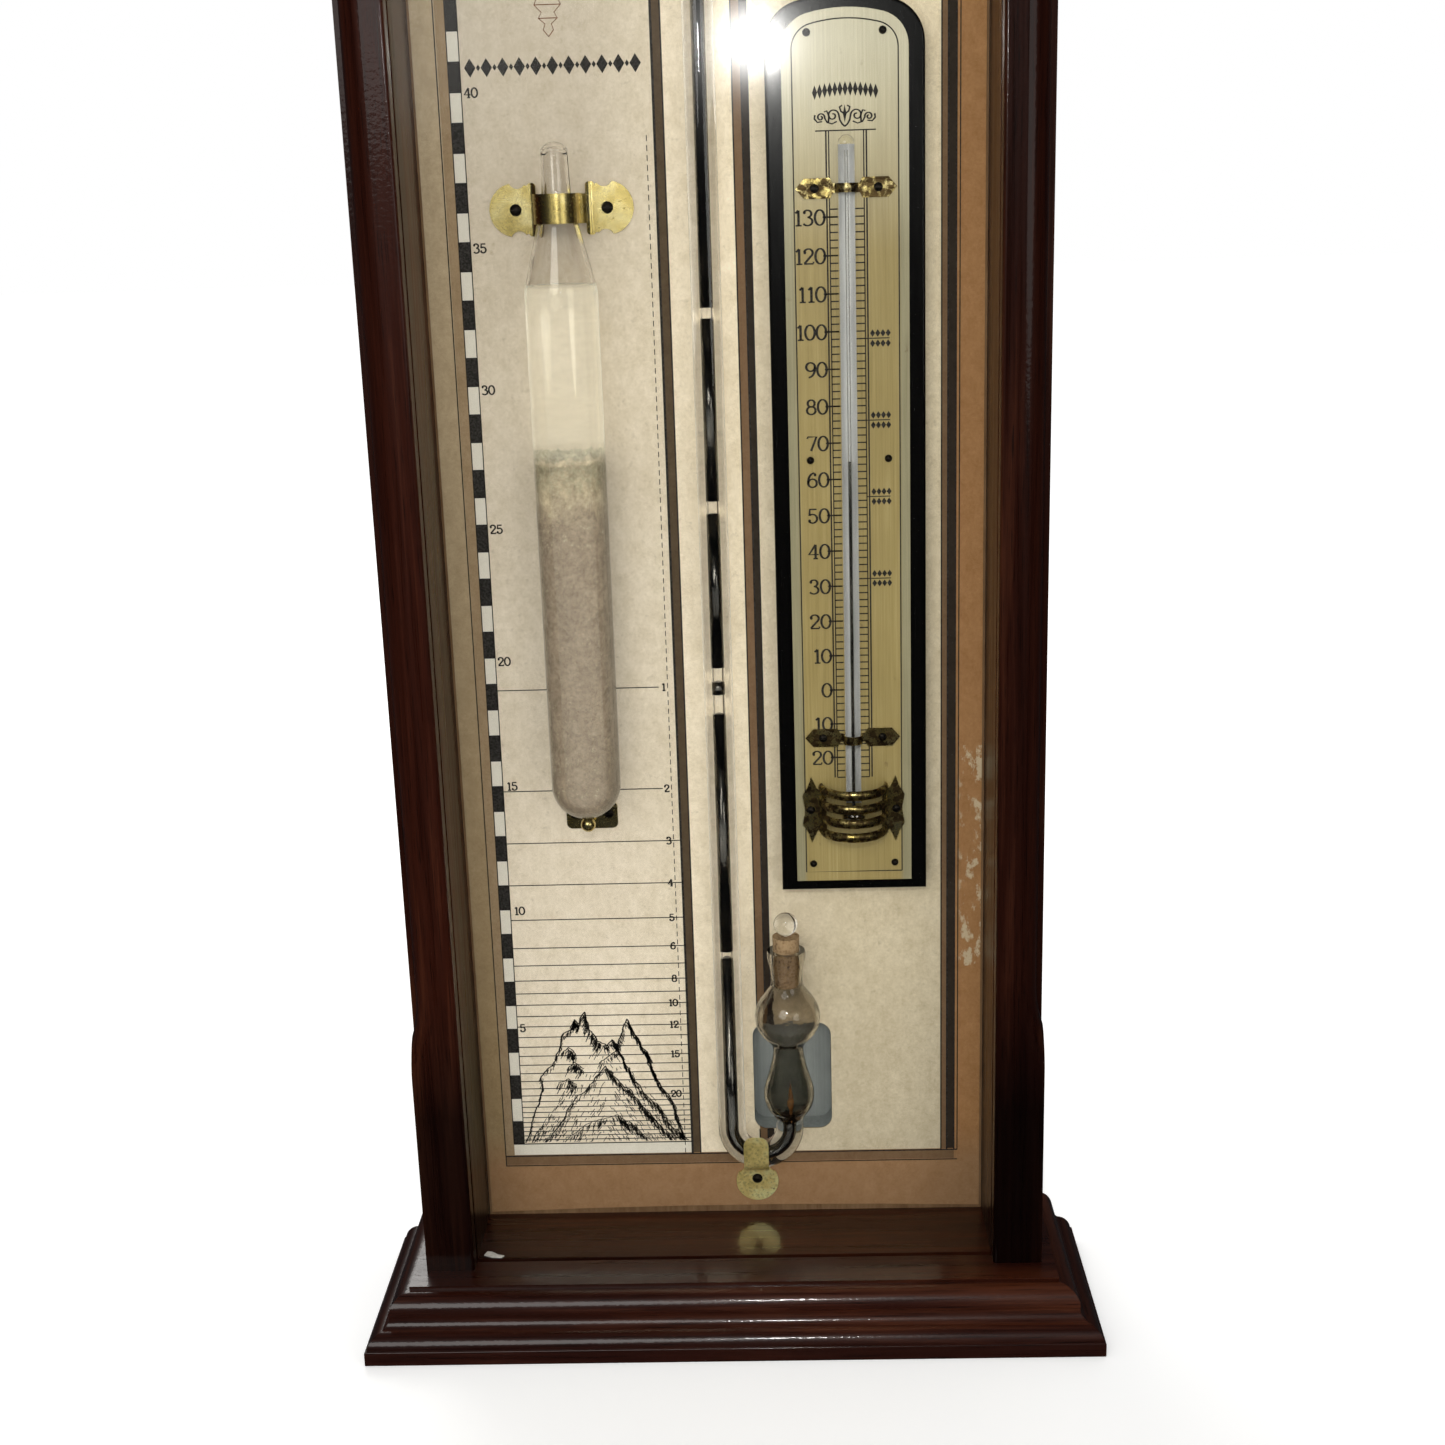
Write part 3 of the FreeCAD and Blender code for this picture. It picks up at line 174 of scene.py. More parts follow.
def srgb(red, green, blue, gain=1.0):
    """Linear colour of an sRGB triple from 0 to 255."""
    def linear(v):
        v /= 255
        return v / 12.92 if v <= 0.04045 else ((v + 0.055) / 1.055) ** 2.4
    return tuple(min(1.0, gain * linear(v)) for v in (red, green, blue))


def mahogany(name, along, dark=1.0, polish=0.5, foot=None):
    """French-polished mahogany, its grain running along one axis; below foot it is darkened with painted
    shade.
    """
    m = Material(name, roughness=0.3, coat_weight=polish, coat_roughness=0.09,
                 specular_ior_level=0.4 * polish)
    across, run = 420.0, 9.0
    scale = tuple(run if axis == along else across for axis in "xyz")
    coarse = tuple(2.2 if axis == along else 38.0 for axis in "xyz")
    pores = tuple(60.0 if axis == along else 2400.0 for axis in "xyz")
    figure = m.noise(coarse, 5.0, 0.6, 0.8)
    grain = m.noise(scale, 6.0, 0.65, 0.3)
    pore = m.noise(pores, 2.0, 0.5)
    tone = m.plus(m.times(figure, 0.55), m.times(grain, 0.45))
    deep = tuple(dark * v for v in (0.0060, 0.0009, 0.0004))
    middle = tuple(dark * v for v in (0.0185, 0.0034, 0.0012))
    light = tuple(dark * v for v in (0.060, 0.0155, 0.0050))
    wood = m.ramp(tone, ((0.34, deep), (0.5, middle), (0.68, light)))
    pore_mask = m.fade(pore, 0.30, 0.40, 0.35, 1.0)
    shade = pore_mask
    # painted shade: the wood is darker below foot
    if foot:
        shade = m.times(pore_mask, m.fade(m.axis("Z"), foot - 0.03, foot + 0.02, 0.22, 1.0))
    m.colour(m.scaled(wood, shade))
    peel = m.noise(620.0, 2.0, 0.5)
    height = m.plus(m.times(peel, 0.75), m.times(grain, 0.25))
    m.bump(height, 0.00012, 0.5)
    m.bump(peel, 0.00010, 0.6, "Coat Normal")
    m.rough(m.fade(grain, 0.3, 0.7, 0.22, 0.42))
    return m.material


def ebony(name):
    """Ebonised board, glossy black with brown in scattered patches."""
    m = Material(name, roughness=0.25, coat_weight=0.3, coat_roughness=0.07, specular_ior_level=0.1)
    brown_patch = m.fade(m.noise((160.0, 160.0, 40.0), 5.0, 0.65), 0.66, 0.78)
    m.colour(m.mix(brown_patch, (0.0016, 0.0014, 0.0012), (0.012, 0.007, 0.004)))
    m.rough(m.fade(m.noise((900.0, 900.0, 60.0), 4.0, 0.6), 0.3, 0.7, 0.2, 0.28))
    m.bump(m.noise((500.0, 500.0, 30.0), 4.0, 0.6), 0.00003, 0.12)
    return m.material


def polished_brass(name, tarnish=0.0, hammered=0.0):
    """Yellow brass, rubbed smooth or hammered, with brown tarnish in patches."""
    m = Material(name, metallic=1.0 - 0.8 * hammered, roughness=0.28, specular_ior_level=0.5)
    dents = m.cells(900.0, "SMOOTH_F1")
    scratches = m.noise((140.0, 900.0, 900.0), 4.0, 0.6)
    patches = m.noise(110.0, 4.0, 0.6)
    gain = 0.88 + 0.9 * hammered
    tones = ((0.3, (0.40, 0.31, 0.09)), (0.5, (0.64, 0.51, 0.19)), (0.7, (0.84, 0.73, 0.37)))
    bright = m.ramp(patches, tuple((place, tuple(min(1.0, gain * v) for v in tone)) for place, tone in tones))
    brown = m.ramp(scratches, ((0.35, (0.035, 0.022, 0.010)), (0.65, (0.13, 0.085, 0.035))))
    mask = m.fade(m.noise(420.0, 5.0, 0.7), 0.66 - 0.36 * tarnish, 0.76 - 0.30 * tarnish)
    pits = m.fade(dents, 0.42, 0.20, 0.0, 0.6 * hammered)
    m.colour(m.mix(pits, m.mix(mask, bright, brown), (0.10, 0.065, 0.015)))
    dull = 0.24 + 0.16 * hammered
    m.rough(m.fade(m.plus(m.times(scratches, 0.4), mask), 0.1, 1.2, dull, dull + 0.24))
    m.bump(m.plus(m.times(dents, 0.2 + hammered), m.times(scratches, 0.1)),
           0.0003, 0.1 + 0.5 * hammered)
    return m.material


def dark_steel(name):
    m = Material(name, metallic=0.9, roughness=0.42)
    rust = m.noise(900.0, 5.0, 0.7)
    m.colour(m.ramp(rust, ((0.35, (0.010, 0.009, 0.008)), (0.6, (0.032, 0.026, 0.020)),
                           (0.8, (0.085, 0.05, 0.025)))))
    m.rough(m.fade(rust, 0.3, 0.7, 0.3, 0.6))
    m.bump(rust, 0.0001, 0.5)
    return m.material


def cork(name):
    m = Material(name, roughness=0.85, specular_ior_level=0.2)
    grains = m.cells(900.0)
    lenticels = m.fade(m.noise((700.0, 700.0, 350.0), 4.0, 0.6), 0.58, 0.68)
    body = m.ramp(grains, ((0.1, (0.24, 0.15, 0.07)), (0.6, (0.39, 0.26, 0.14))))
    m.colour(m.mix(lenticels, body, (0.07, 0.03, 0.012)))
    m.bump(m.math("SUBTRACT", grains, lenticels), 0.0003, 0.6)
    return m.material


def clear_glass(name, shadow, tint=(0.985, 0.985, 0.98)):
    """Blown glass with faint draw lines along it."""
    m = Material(name, roughness=0.0, ior=1.48, transmission_weight=1.0, base_color=(*tint, 1.0))
    m.bump(m.noise((260.0, 260.0, 12.0), 2.0, 0.5), 0.00004, 0.15)
    m.clear_to_lamps((shadow, shadow, shadow))
    return m.material


def tube_glass(name):
    """Clear tube whose two cistern bulbs are darkened inside with blotchy painted shade, the lower bulb more.
    """
    m = Material(name, roughness=0.0, ior=1.48, transmission_weight=1.0)
    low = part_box("ball_stopper")[0]
    bulbs = m.times(m.fade(m.axis("X"), low[0] - 0.010, low[0] - 0.007),
                   m.fade(m.axis("Z"), 0.062, 0.070))
    shade_blotch = m.noise((120.0, 120.0, 90.0), 4.0, 0.6)
    # painted shade in the cistern bulbs, darker in the lower one
    upper = m.ramp(shade_blotch, ((0.3, (0.54, 0.51, 0.46)), (0.7, (0.68, 0.65, 0.60))))
    lower = m.ramp(shade_blotch, ((0.3, (0.34, 0.33, 0.28)), (0.7, (0.52, 0.50, 0.44))))
    bulb_shade = m.mix(m.fade(m.axis("Z"), 0.094, 0.104), lower, upper)
    m.colour(m.mix(bulbs, (0.985, 0.985, 0.98), bulb_shade))
    m.bump(m.noise((260.0, 260.0, 12.0), 2.0, 0.5), 0.00004, 0.08)
    m.clear_to_lamps((0.98, 0.97, 0.96))
    return m.material


def pane_glass(name):
    """Flat pane: almost all light passes, with a weak reflection that grows towards grazing angles."""
    m = Material(name)
    ripple = m.noise((14.0, 14.0, 5.0), 2.0, 0.5)
    dust = m.fade(m.noise(1500.0, 2.0, 0.5), 0.72, 0.80, 0.0, 0.12)
    normal = m.node("Bump", {"Height": ripple, "Distance": 0.0004, "Strength": 0.15}).outputs["Normal"]
    gloss = m.node("BsdfGlossy", {"Color": (1.0, 1.0, 1.0, 1.0), "Roughness": 0.11, "Normal": normal})
    haze = m.node("BsdfDiffuse", {"Color": (0.8, 0.8, 0.78, 1.0)})
    through = m.node("BsdfTransparent", {"Color": (0.985, 0.99, 0.985, 1.0)})
    facing = m.node("Fresnel", {"IOR": 1.45}).outputs["Fac"]
    share = m.times(facing, 0.17)
    polished = m.node("MixShader", {0: share, 1: through.outputs[0], 2: gloss.outputs[0]})
    dusty = m.node("MixShader", {0: m.times(dust, 0.25), 1: polished.outputs[0], 2: haze.outputs[0]})
    m.tree.links.new(dusty.outputs[0], m.output.inputs["Surface"])
    return m.material


def spirit(name):
    """Pale straw-coloured camphor solution, glowing above the crystals with painted light and passing more
    lamp light than reaches it, a painted pool of light on the sheet behind.
    """
    m = Material(name, roughness=0.0, ior=1.365, transmission_weight=1.0)
    cloud = m.noise((90.0, 90.0, 45.0), 3.0, 0.5)
    m.colour(m.ramp(cloud, ((0.3, (0.995, 0.985, 0.94)), (0.7, (1.0, 0.995, 0.965)))))
    # painted light: the liquid passes 1.6 times the lamp light that reaches it
    m.clear_to_lamps((1.6, 1.57, 1.45))
    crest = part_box("storm_crystals")[1][2]
    # painted glow: the liquid above the crystals emits light, though it is no lamp
    m.bsdf.inputs["Emission Color"].default_value = (1.0, 0.95, 0.76, 1.0)
    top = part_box("storm_liquid")[1][2]
    painted_glow = m.times(m.fade(m.axis("Z"), crest - 0.001, crest + 0.002, 0.0, 0.15),
                      m.fade(m.axis("Z"), top - 0.0010, top - 0.0002, 1.0, 0.0))
    m.tree.links.new(painted_glow, m.bsdf.inputs["Emission Strength"])
    return m.material


def crystals(name, light=False):
    """Packed camphor crystals, grey-white and greener near the top, with normals turned to the front."""
    m = Material(name, roughness=0.6, specular_ior_level=0.2)
    fine = m.noise(620.0, 6.0, 0.8)
    lumps = m.noise((210.0, 210.0, 170.0), 5.0, 0.7)
    tone = m.plus(m.times(fine, 0.6), m.times(lumps, 0.4))
    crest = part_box("storm_crystals")[1][2]
    if light:
        m.colour(m.ramp(tone, ((0.40, (0.36, 0.32, 0.22)), (0.60, (0.66, 0.61, 0.45)))))
    else:
        high = m.ramp(tone, ((0.38, (0.38, 0.315, 0.225)), (0.62, (0.72, 0.62, 0.45))))
        low = m.ramp(tone, ((0.38, (0.235, 0.185, 0.14)), (0.62, (0.46, 0.375, 0.29))))
        edge = m.plus(m.axis("Z"), m.fade(lumps, 0.3, 0.7, -0.006, 0.006))
        m.colour(m.mix(m.fade(edge, crest - 0.022, crest - 0.010), low, high))
    outward = m.node("NewGeometry").outputs["Normal"]
    flat = m.node("VectorMath", {0: outward, 1: (0.0, -4.0, 0.8)}, operation="ADD").outputs[0]
    facing = m.node("VectorMath", {0: flat}, operation="NORMALIZE").outputs[0]
    grain = m.node("Bump", {"Height": fine, "Distance": 0.0004, "Strength": 0.8, "Normal": facing})
    m.tree.links.new(grain.outputs["Normal"], m.bsdf.inputs["Normal"])
    return m.material


def mercury(name, shade=1.0):
    """Mercury, its mirror colour darkened far below real mercury with painted shade, and dulled in patches by
    the skin inside the bore.
    """
    m = Material(name, metallic=1.0, roughness=0.12)
    tarnish = m.noise((200.0, 200.0, 60.0), 3.0, 0.5)
    # painted shade: a base colour far darker than mercury's own
    low, high = (tuple(shade * v for v in level) for level in ((0.05, 0.048, 0.044), (0.15, 0.142, 0.125)))
    m.colour(m.ramp(tarnish, ((0.3, low), (0.7, high))))
    m.rough(m.fade(tarnish, 0.3, 0.7, 0.08, 0.22))
    return m.material


def opal(name):
    m = Material(name, roughness=0.3)
    streaks = m.noise((400.0, 400.0, 30.0), 3.0, 0.5)
    m.colour(m.ramp(streaks, ((0.3, (0.50, 0.50, 0.49)), (0.7, (0.64, 0.64, 0.62)))))
    return m.material


def ivorine(name):
    """Yellowed scale plate with a fine upright grain and a few stains, its top paler with a painted
    highlight.
    """
    m = Material(name, roughness=0.36, coat_weight=0.25, coat_roughness=0.2, specular_ior_level=0.4)
    grain = m.noise((1500.0, 1500.0, 22.0), 4.0, 0.6)
    cloud = m.noise((45.0, 45.0, 12.0), 4.0, 0.6)
    tone = m.plus(m.times(grain, 0.55), m.times(cloud, 0.45))
    low = m.ramp(tone, ((0.34, (0.29, 0.215, 0.07)), (0.52, (0.37, 0.28, 0.10)), (0.68, (0.46, 0.36, 0.145))))
    high = m.ramp(tone, ((0.34, (0.47, 0.42, 0.27)), (0.68, (0.66, 0.61, 0.43))))
    edge, far_edge = (corner[0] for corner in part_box("thermometer_scale"))
    off = m.math("ABSOLUTE", m.math("SUBTRACT", m.axis("X"), (edge + far_edge) / 2))
    margin = m.ramp(tone, ((0.34, (0.25, 0.22, 0.12)), (0.68, (0.38, 0.34, 0.20))))
    low = m.mix(m.fade(off, 0.0168, 0.0182), low, margin)
    # painted highlight: the top of the plate is paler
    body = m.mix(m.fade(m.axis("Z"), 0.385, 0.452), low, high)
    stains = m.fade(m.noise((260.0, 260.0, 190.0), 4.0, 0.6), 0.70, 0.80, 0.0, 0.6)
    m.colour(m.mix(stains, body, (0.16, 0.10, 0.04)))
    m.rough(m.fade(grain, 0.3, 0.7, 0.28, 0.46))
    m.bump(grain, 0.00008, 0.35)
    return m.material


def printing_ink(name, base):
    """Letterpress ink, a little uneven where it sank into the sheet."""
    m = Material(name, roughness=0.7, specular_ior_level=0.2)
    bite = m.noise(1400.0, 4.0, 0.65)
    pale = tuple(min(1.0, v * 3.2 + 0.012) for v in base)
    m.colour(m.ramp(bite, ((0.40, base), (0.72, pale))))
    return m.material


# ---------------------------------------------------------------- mesh helpers
def make_piece(name, mesh, material, body="case", stands_for=(), smooth=True):
    piece = bpy.data.objects.new(name, mesh)
    bpy.context.scene.collection.objects.link(piece)
    mesh.materials.clear()
    mesh.materials.append(material)
    mesh.polygons.foreach_set("use_smooth", [smooth] * len(mesh.polygons))
    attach(piece, body)
    if stands_for:
        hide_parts(*stands_for)
    return piece


def corners_of(node):
    return [Vector(corner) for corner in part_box(node)]


def new_mesh(name, verts, faces):
    mesh = bpy.data.meshes.new(name)
    mesh.from_pydata(verts, [], faces)
    return mesh


def flat_mesh(name, polygons, y):
    """Upright polygons given as (x, z) corners in millimetres, facing the viewer at depth y in metres."""
    verts, faces = [], []
    for polygon in polygons:
        area = sum(a[0] * b[1] - b[0] * a[1] for a, b in zip(polygon, polygon[1:] + polygon[:1]))
        ordered = polygon if area > 0 else polygon[::-1]
        faces.append(tuple(range(len(verts), len(verts) + len(ordered))))
        verts += [(x * MM, y, z * MM) for x, z in ordered]
    mesh = new_mesh(name, verts, faces)
    return mesh


def rectangle(x0, x1, z0, z1):
    return [(x0, z0), (x1, z0), (x1, z1), (x0, z1)]


def stroke(points, thin, thick=None):
    """A pen line as quads: thick where it runs upright, thin where it runs across."""
    thick = thin if thick is None else thick
    if len(points) < 2:
        return []
    sides = []
    for i, (x, z) in enumerate(points):
        a, b = points[max(0, i - 1)], points[min(len(points) - 1, i + 1)]
        dx, dz = b[0] - a[0], b[1] - a[1]
        length = math.hypot(dx, dz) or 1.0
        half = (thin + (thick - thin) * abs(dz / length) ** 1.5) / 2
        sides.append(((x - dz / length * half, z + dx / length * half),
                      (x + dz / length * half, z - dx / length * half)))
    return [[a[0], a[1], b[1], b[0]] for a, b in zip(sides, sides[1:])]


def bow(cx, cz, rx, rz, start, end, steps=14):
    """Points on an ellipse from start to end degrees."""
    turn = [math.radians(start + (end - start) * i / steps) for i in range(steps + 1)]
    return [(cx + rx * math.cos(t), cz + rz * math.sin(t)) for t in turn]


DIGITS = {
    "0": [bow(0.31, 0.5, 0.27, 0.48, 90, 450, 26)],
    "1": [[(0.12, 0.80), (0.32, 0.98)], [(0.32, 0.98), (0.32, 0.02)], [(0.12, 0.02), (0.52, 0.02)]],
    "2": [bow(0.30, 0.73, 0.24, 0.25, 170, -35) + [(0.07, 0.05)], [(0.05, 0.03), (0.56, 0.03), (0.58, 0.16)]],
    "3": [bow(0.28, 0.755, 0.22, 0.225, 150, -90), bow(0.28, 0.27, 0.27, 0.26, 90, -150)],
    "4": [[(0.42, 0.98), (0.03, 0.30), (0.60, 0.30)], [(0.42, 0.98), (0.42, 0.02)],
          [(0.28, 0.02), (0.56, 0.02)]],
    "5": [[(0.52, 0.96), (0.12, 0.96), (0.10, 0.52)], bow(0.28, 0.32, 0.26, 0.30, 130, -150)],
    "6": [bow(0.31, 0.29, 0.25, 0.28, 0, 360, 22), bow(0.44, 0.38, 0.38, 0.60, 92, 190)],
    "7": [[(0.06, 0.84), (0.08, 0.96), (0.58, 0.96), (0.26, 0.02)]],
    "8": [bow(0.31, 0.74, 0.20, 0.23, 0, 360, 20), bow(0.31, 0.27, 0.25, 0.26, 0, 360, 22)],
    "9": [bow(0.31, 0.70, 0.25, 0.28, 0, 360, 22), bow(0.18, 0.61, 0.38, 0.60, -88, 10)],
}


def number(text, right, base, height, thin, thick):
    """Digits drawn with pen strokes, right-aligned at right and standing on base."""
    polygons = []
    x = right
    for digit in reversed(text):
        x -= height * (0.58 if digit == "1" else 0.76)
        spread = 1.0 if digit == "1" else 1.16
        for path in DIGITS[digit]:
            points = [(x + height * spread * u, base + height * v) for u, v in path]
            polygons += stroke(points, thin, thick)
        if digit in "2356":
            u, v = {"2": (0.10, 0.76), "3": (0.11, 0.84), "5": (0.10, 0.17), "6": (0.46, 0.86)}[digit]
            middle = (x + height * spread * u, base + height * v)
            polygons.append(bow(*middle, 0.6 * thick, 0.7 * thick, 0, 330, 9))
    return polygons


def merged_copy(node, name, grow):
    """A welded copy of a CAD node, grown outward by a little so that it bites into its neighbour."""
    mesh = nodes[node].data.copy()
    mesh.name = name
    shape = bmesh.new()
    shape.from_mesh(mesh)
    bmesh.ops.remove_doubles(shape, verts=shape.verts, dist=1e-6)
    bmesh.ops.recalc_face_normals(shape, faces=shape.faces)
    shape.normal_update()
    for vert in shape.verts:
        vert.co += vert.normal * grow
    shape.to_mesh(mesh)
    shape.free()
    return mesh


def turned(name, centre, profile, steps=72):
    """Surface of revolution about an upright axis through centre, from (radius, z) pairs in metres."""
    verts, faces = [], []
    for radius, z in profile:
        for k in range(steps):
            angle = 2 * math.pi * k / steps
            verts.append((centre.x + radius * math.cos(angle), centre.y + radius * math.sin(angle), z))
    for row in range(len(profile) - 1):
        for k in range(steps):
            a, b = row * steps + k, row * steps + (k + 1) % steps
            faces.append((a, b, b + steps, a + steps))
    mesh = new_mesh(name, verts, faces)
    shape = bmesh.new()
    shape.from_mesh(mesh)
    bmesh.ops.remove_doubles(shape, verts=shape.verts, dist=1e-7)
    bmesh.ops.recalc_face_normals(shape, faces=shape.faces)
    shape.to_mesh(mesh)
    shape.free()
    return mesh


# ---------------------------------------------------------------- stage
def build_stage():
    floor_z = cad_box[0][2]
    mesh = bpy.data.meshes.new("studio_floor")
    reach = 12.0
    mesh.from_pydata([(-reach, -reach, floor_z), (reach, -reach, floor_z), (reach, reach, floor_z),
                      (-reach, reach, floor_z)], [], [(0, 1, 2, 3)])
    floor = bpy.data.objects.new("studio_floor", mesh)
    bpy.context.scene.collection.objects.link(floor)
    m = Material("studio_paper", roughness=0.9, specular_ior_level=0.1)
    paper = m.ramp(m.noise(3.0, 2.0, 0.5), ((0.3, (0.84, 0.84, 0.83)), (0.7, (0.87, 0.87, 0.86))))
    m.colour(paper)
    m.tree.links.new(paper, m.bsdf.inputs["Emission Color"])
    seen = m.node("LightPath").outputs["Is Camera Ray"]
    glow = m.plus(m.fade(m.axis("Y"), -0.1, 0.5, 0.30, 0.75), m.fade(m.axis("Y"), -0.45, -0.25, 0.25, 0.0))
    m.tree.links.new(m.times(seen, glow), m.bsdf.inputs["Emission Strength"])
    mesh.materials.append(m.material)
    floor.visible_glossy = False

    world = bpy.data.worlds.new("studio")
    bpy.context.scene.world = world
    world.use_nodes = True
    tree = world.node_tree
    tree.nodes.clear()
    path = tree.nodes.new("ShaderNodeLightPath")
    out = tree.nodes.new("ShaderNodeOutputWorld")
    levels = {"seen": (1.0, 1.0, 1.0, 1.0), "soft": (0.66, 0.66, 0.67, 1.0),
              "mirror": (0.025, 0.025, 0.027, 1.0)}
    backs = {}
    for key, level in levels.items():
        backs[key] = tree.nodes.new("ShaderNodeBackground")
        backs[key].inputs["Color"].default_value = level
    first = tree.nodes.new("ShaderNodeMixShader")
    second = tree.nodes.new("ShaderNodeMixShader")
    tree.links.new(path.outputs["Is Glossy Ray"], first.inputs[0])
    tree.links.new(backs["soft"].outputs[0], first.inputs[1])
    tree.links.new(backs["mirror"].outputs[0], first.inputs[2])
    tree.links.new(path.outputs["Is Camera Ray"], second.inputs[0])
    tree.links.new(first.outputs[0], second.inputs[1])
    tree.links.new(backs["seen"].outputs[0], second.inputs[2])
    tree.links.new(second.outputs[0], out.inputs["Surface"])


def lamp(name, place, target, size, power, tint=(1.0, 0.98, 0.95)):
    data = bpy.data.lights.new(name, "AREA")
    data.shape = "DISK"
    data.size = size
    data.energy = power
    data.color = tint
    made = bpy.data.objects.new(name, data)
    bpy.context.scene.collection.objects.link(made)
    made.location = place
    made.rotation_euler = (Vector(target) - Vector(place)).to_track_quat("-Z", "Y").to_euler()
    return made


def build_lights():
    """Soft boxes to the left, right and back, and a small lamp over the camera, which glares in the pane."""
    for name, place, aim_height, size, power in (("key_softbox", (-0.42, -1.35, 0.85), 0.15, 0.8, 4.9),
                                                 ("fill_softbox", (0.75, -1.1, 0.5), 0.15, 0.6, 2.0),
                                                 ("back_softbox", (-0.6, 1.4, 1.3), 0.5, 0.9, 9.0),
                                                 ("camera_lamp", (0.015, -0.628, 0.502), 0.22, 0.034, 0.80)):
        lamp(name, place, (0.0, 0.0, aim_height), size, power)


CAMERA_PLACE = (0.02101, -0.62831, 0.39973)
CAMERA_TURN = (74.713, 1.710, 1.271)    # degrees
CAMERA_LENS = 46.58


def build_camera():
    data = bpy.data.cameras.new("camera")
    data.sensor_width = 36.0
    data.lens = CAMERA_LENS
    data.clip_start = 0.01
    camera = bpy.data.objects.new("camera", data)
    bpy.context.scene.collection.objects.link(camera)
    camera.location = CAMERA_PLACE
    camera.rotation_euler = Euler([math.radians(angle) for angle in CAMERA_TURN], "XYZ")
    bpy.context.scene.camera = camera


# ---------------------------------------------------------------- chart
SHEET_LOW, SHEET_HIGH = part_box("chart_sheet")
FOOT = SHEET_LOW[2] / MM              # the chart is laid out in millimetres above this edge
MIDDLE = (SHEET_LOW[0] + SHEET_HIGH[0]) / 2 / MM
SEA = 29.1                            # sea line above the foot of the sheet
LADDER_PITCH = 9.675
LEFT_PANEL = (-83.2, -15.8)
CENTRE_PANEL = (-12.2, 10.8)
RIGHT_PANEL = (16.1, 80.3)
PANEL_LOW = 24.4
PANEL_HIGH = SHEET_HIGH[2] / MM - FOOT - 18.0
POST_SHADE_HEIGHT = 0.115                     # painted shade darkens the posts below this, in metres

PRESSURE_HEIGHTS = {1: 210.4, 2: 172.1, 3: 151.9, 4: 135.4, 5: 121.6, 6: 110.3, 8: 97.1, 10: 87.2, 12: 78.3,
                    15: 66.1, 20: 49.5, 30: 29.1}
LABEL_DROPS = {5: 1.2, 10: 2.0, 15: 1.6, 20: 2.9, 25: 3.2, 30: 2.9, 35: 3.6, 40: 1.7}   # below its rung


def pressure_height(inches):
    """Height of a pressure line above the sheet's foot, by logarithm between the labelled ones."""
    known = sorted(PRESSURE_HEIGHTS)
    low = max(k for k in known if k <= inches)
    if low == inches:
        return PRESSURE_HEIGHTS[low]
    high = min(k for k in known if k > inches)
    share = math.log(inches / low) / math.log(high / low)
    return PRESSURE_HEIGHTS[low] + share * (PRESSURE_HEIGHTS[high] - PRESSURE_HEIGHTS[low])


def lean(z):
    """The ladder is printed a little askew: how far it stands out at height z, in millimetres."""
    return -1.45 * max(0.0, 1 - (z - SEA) / 400.0)


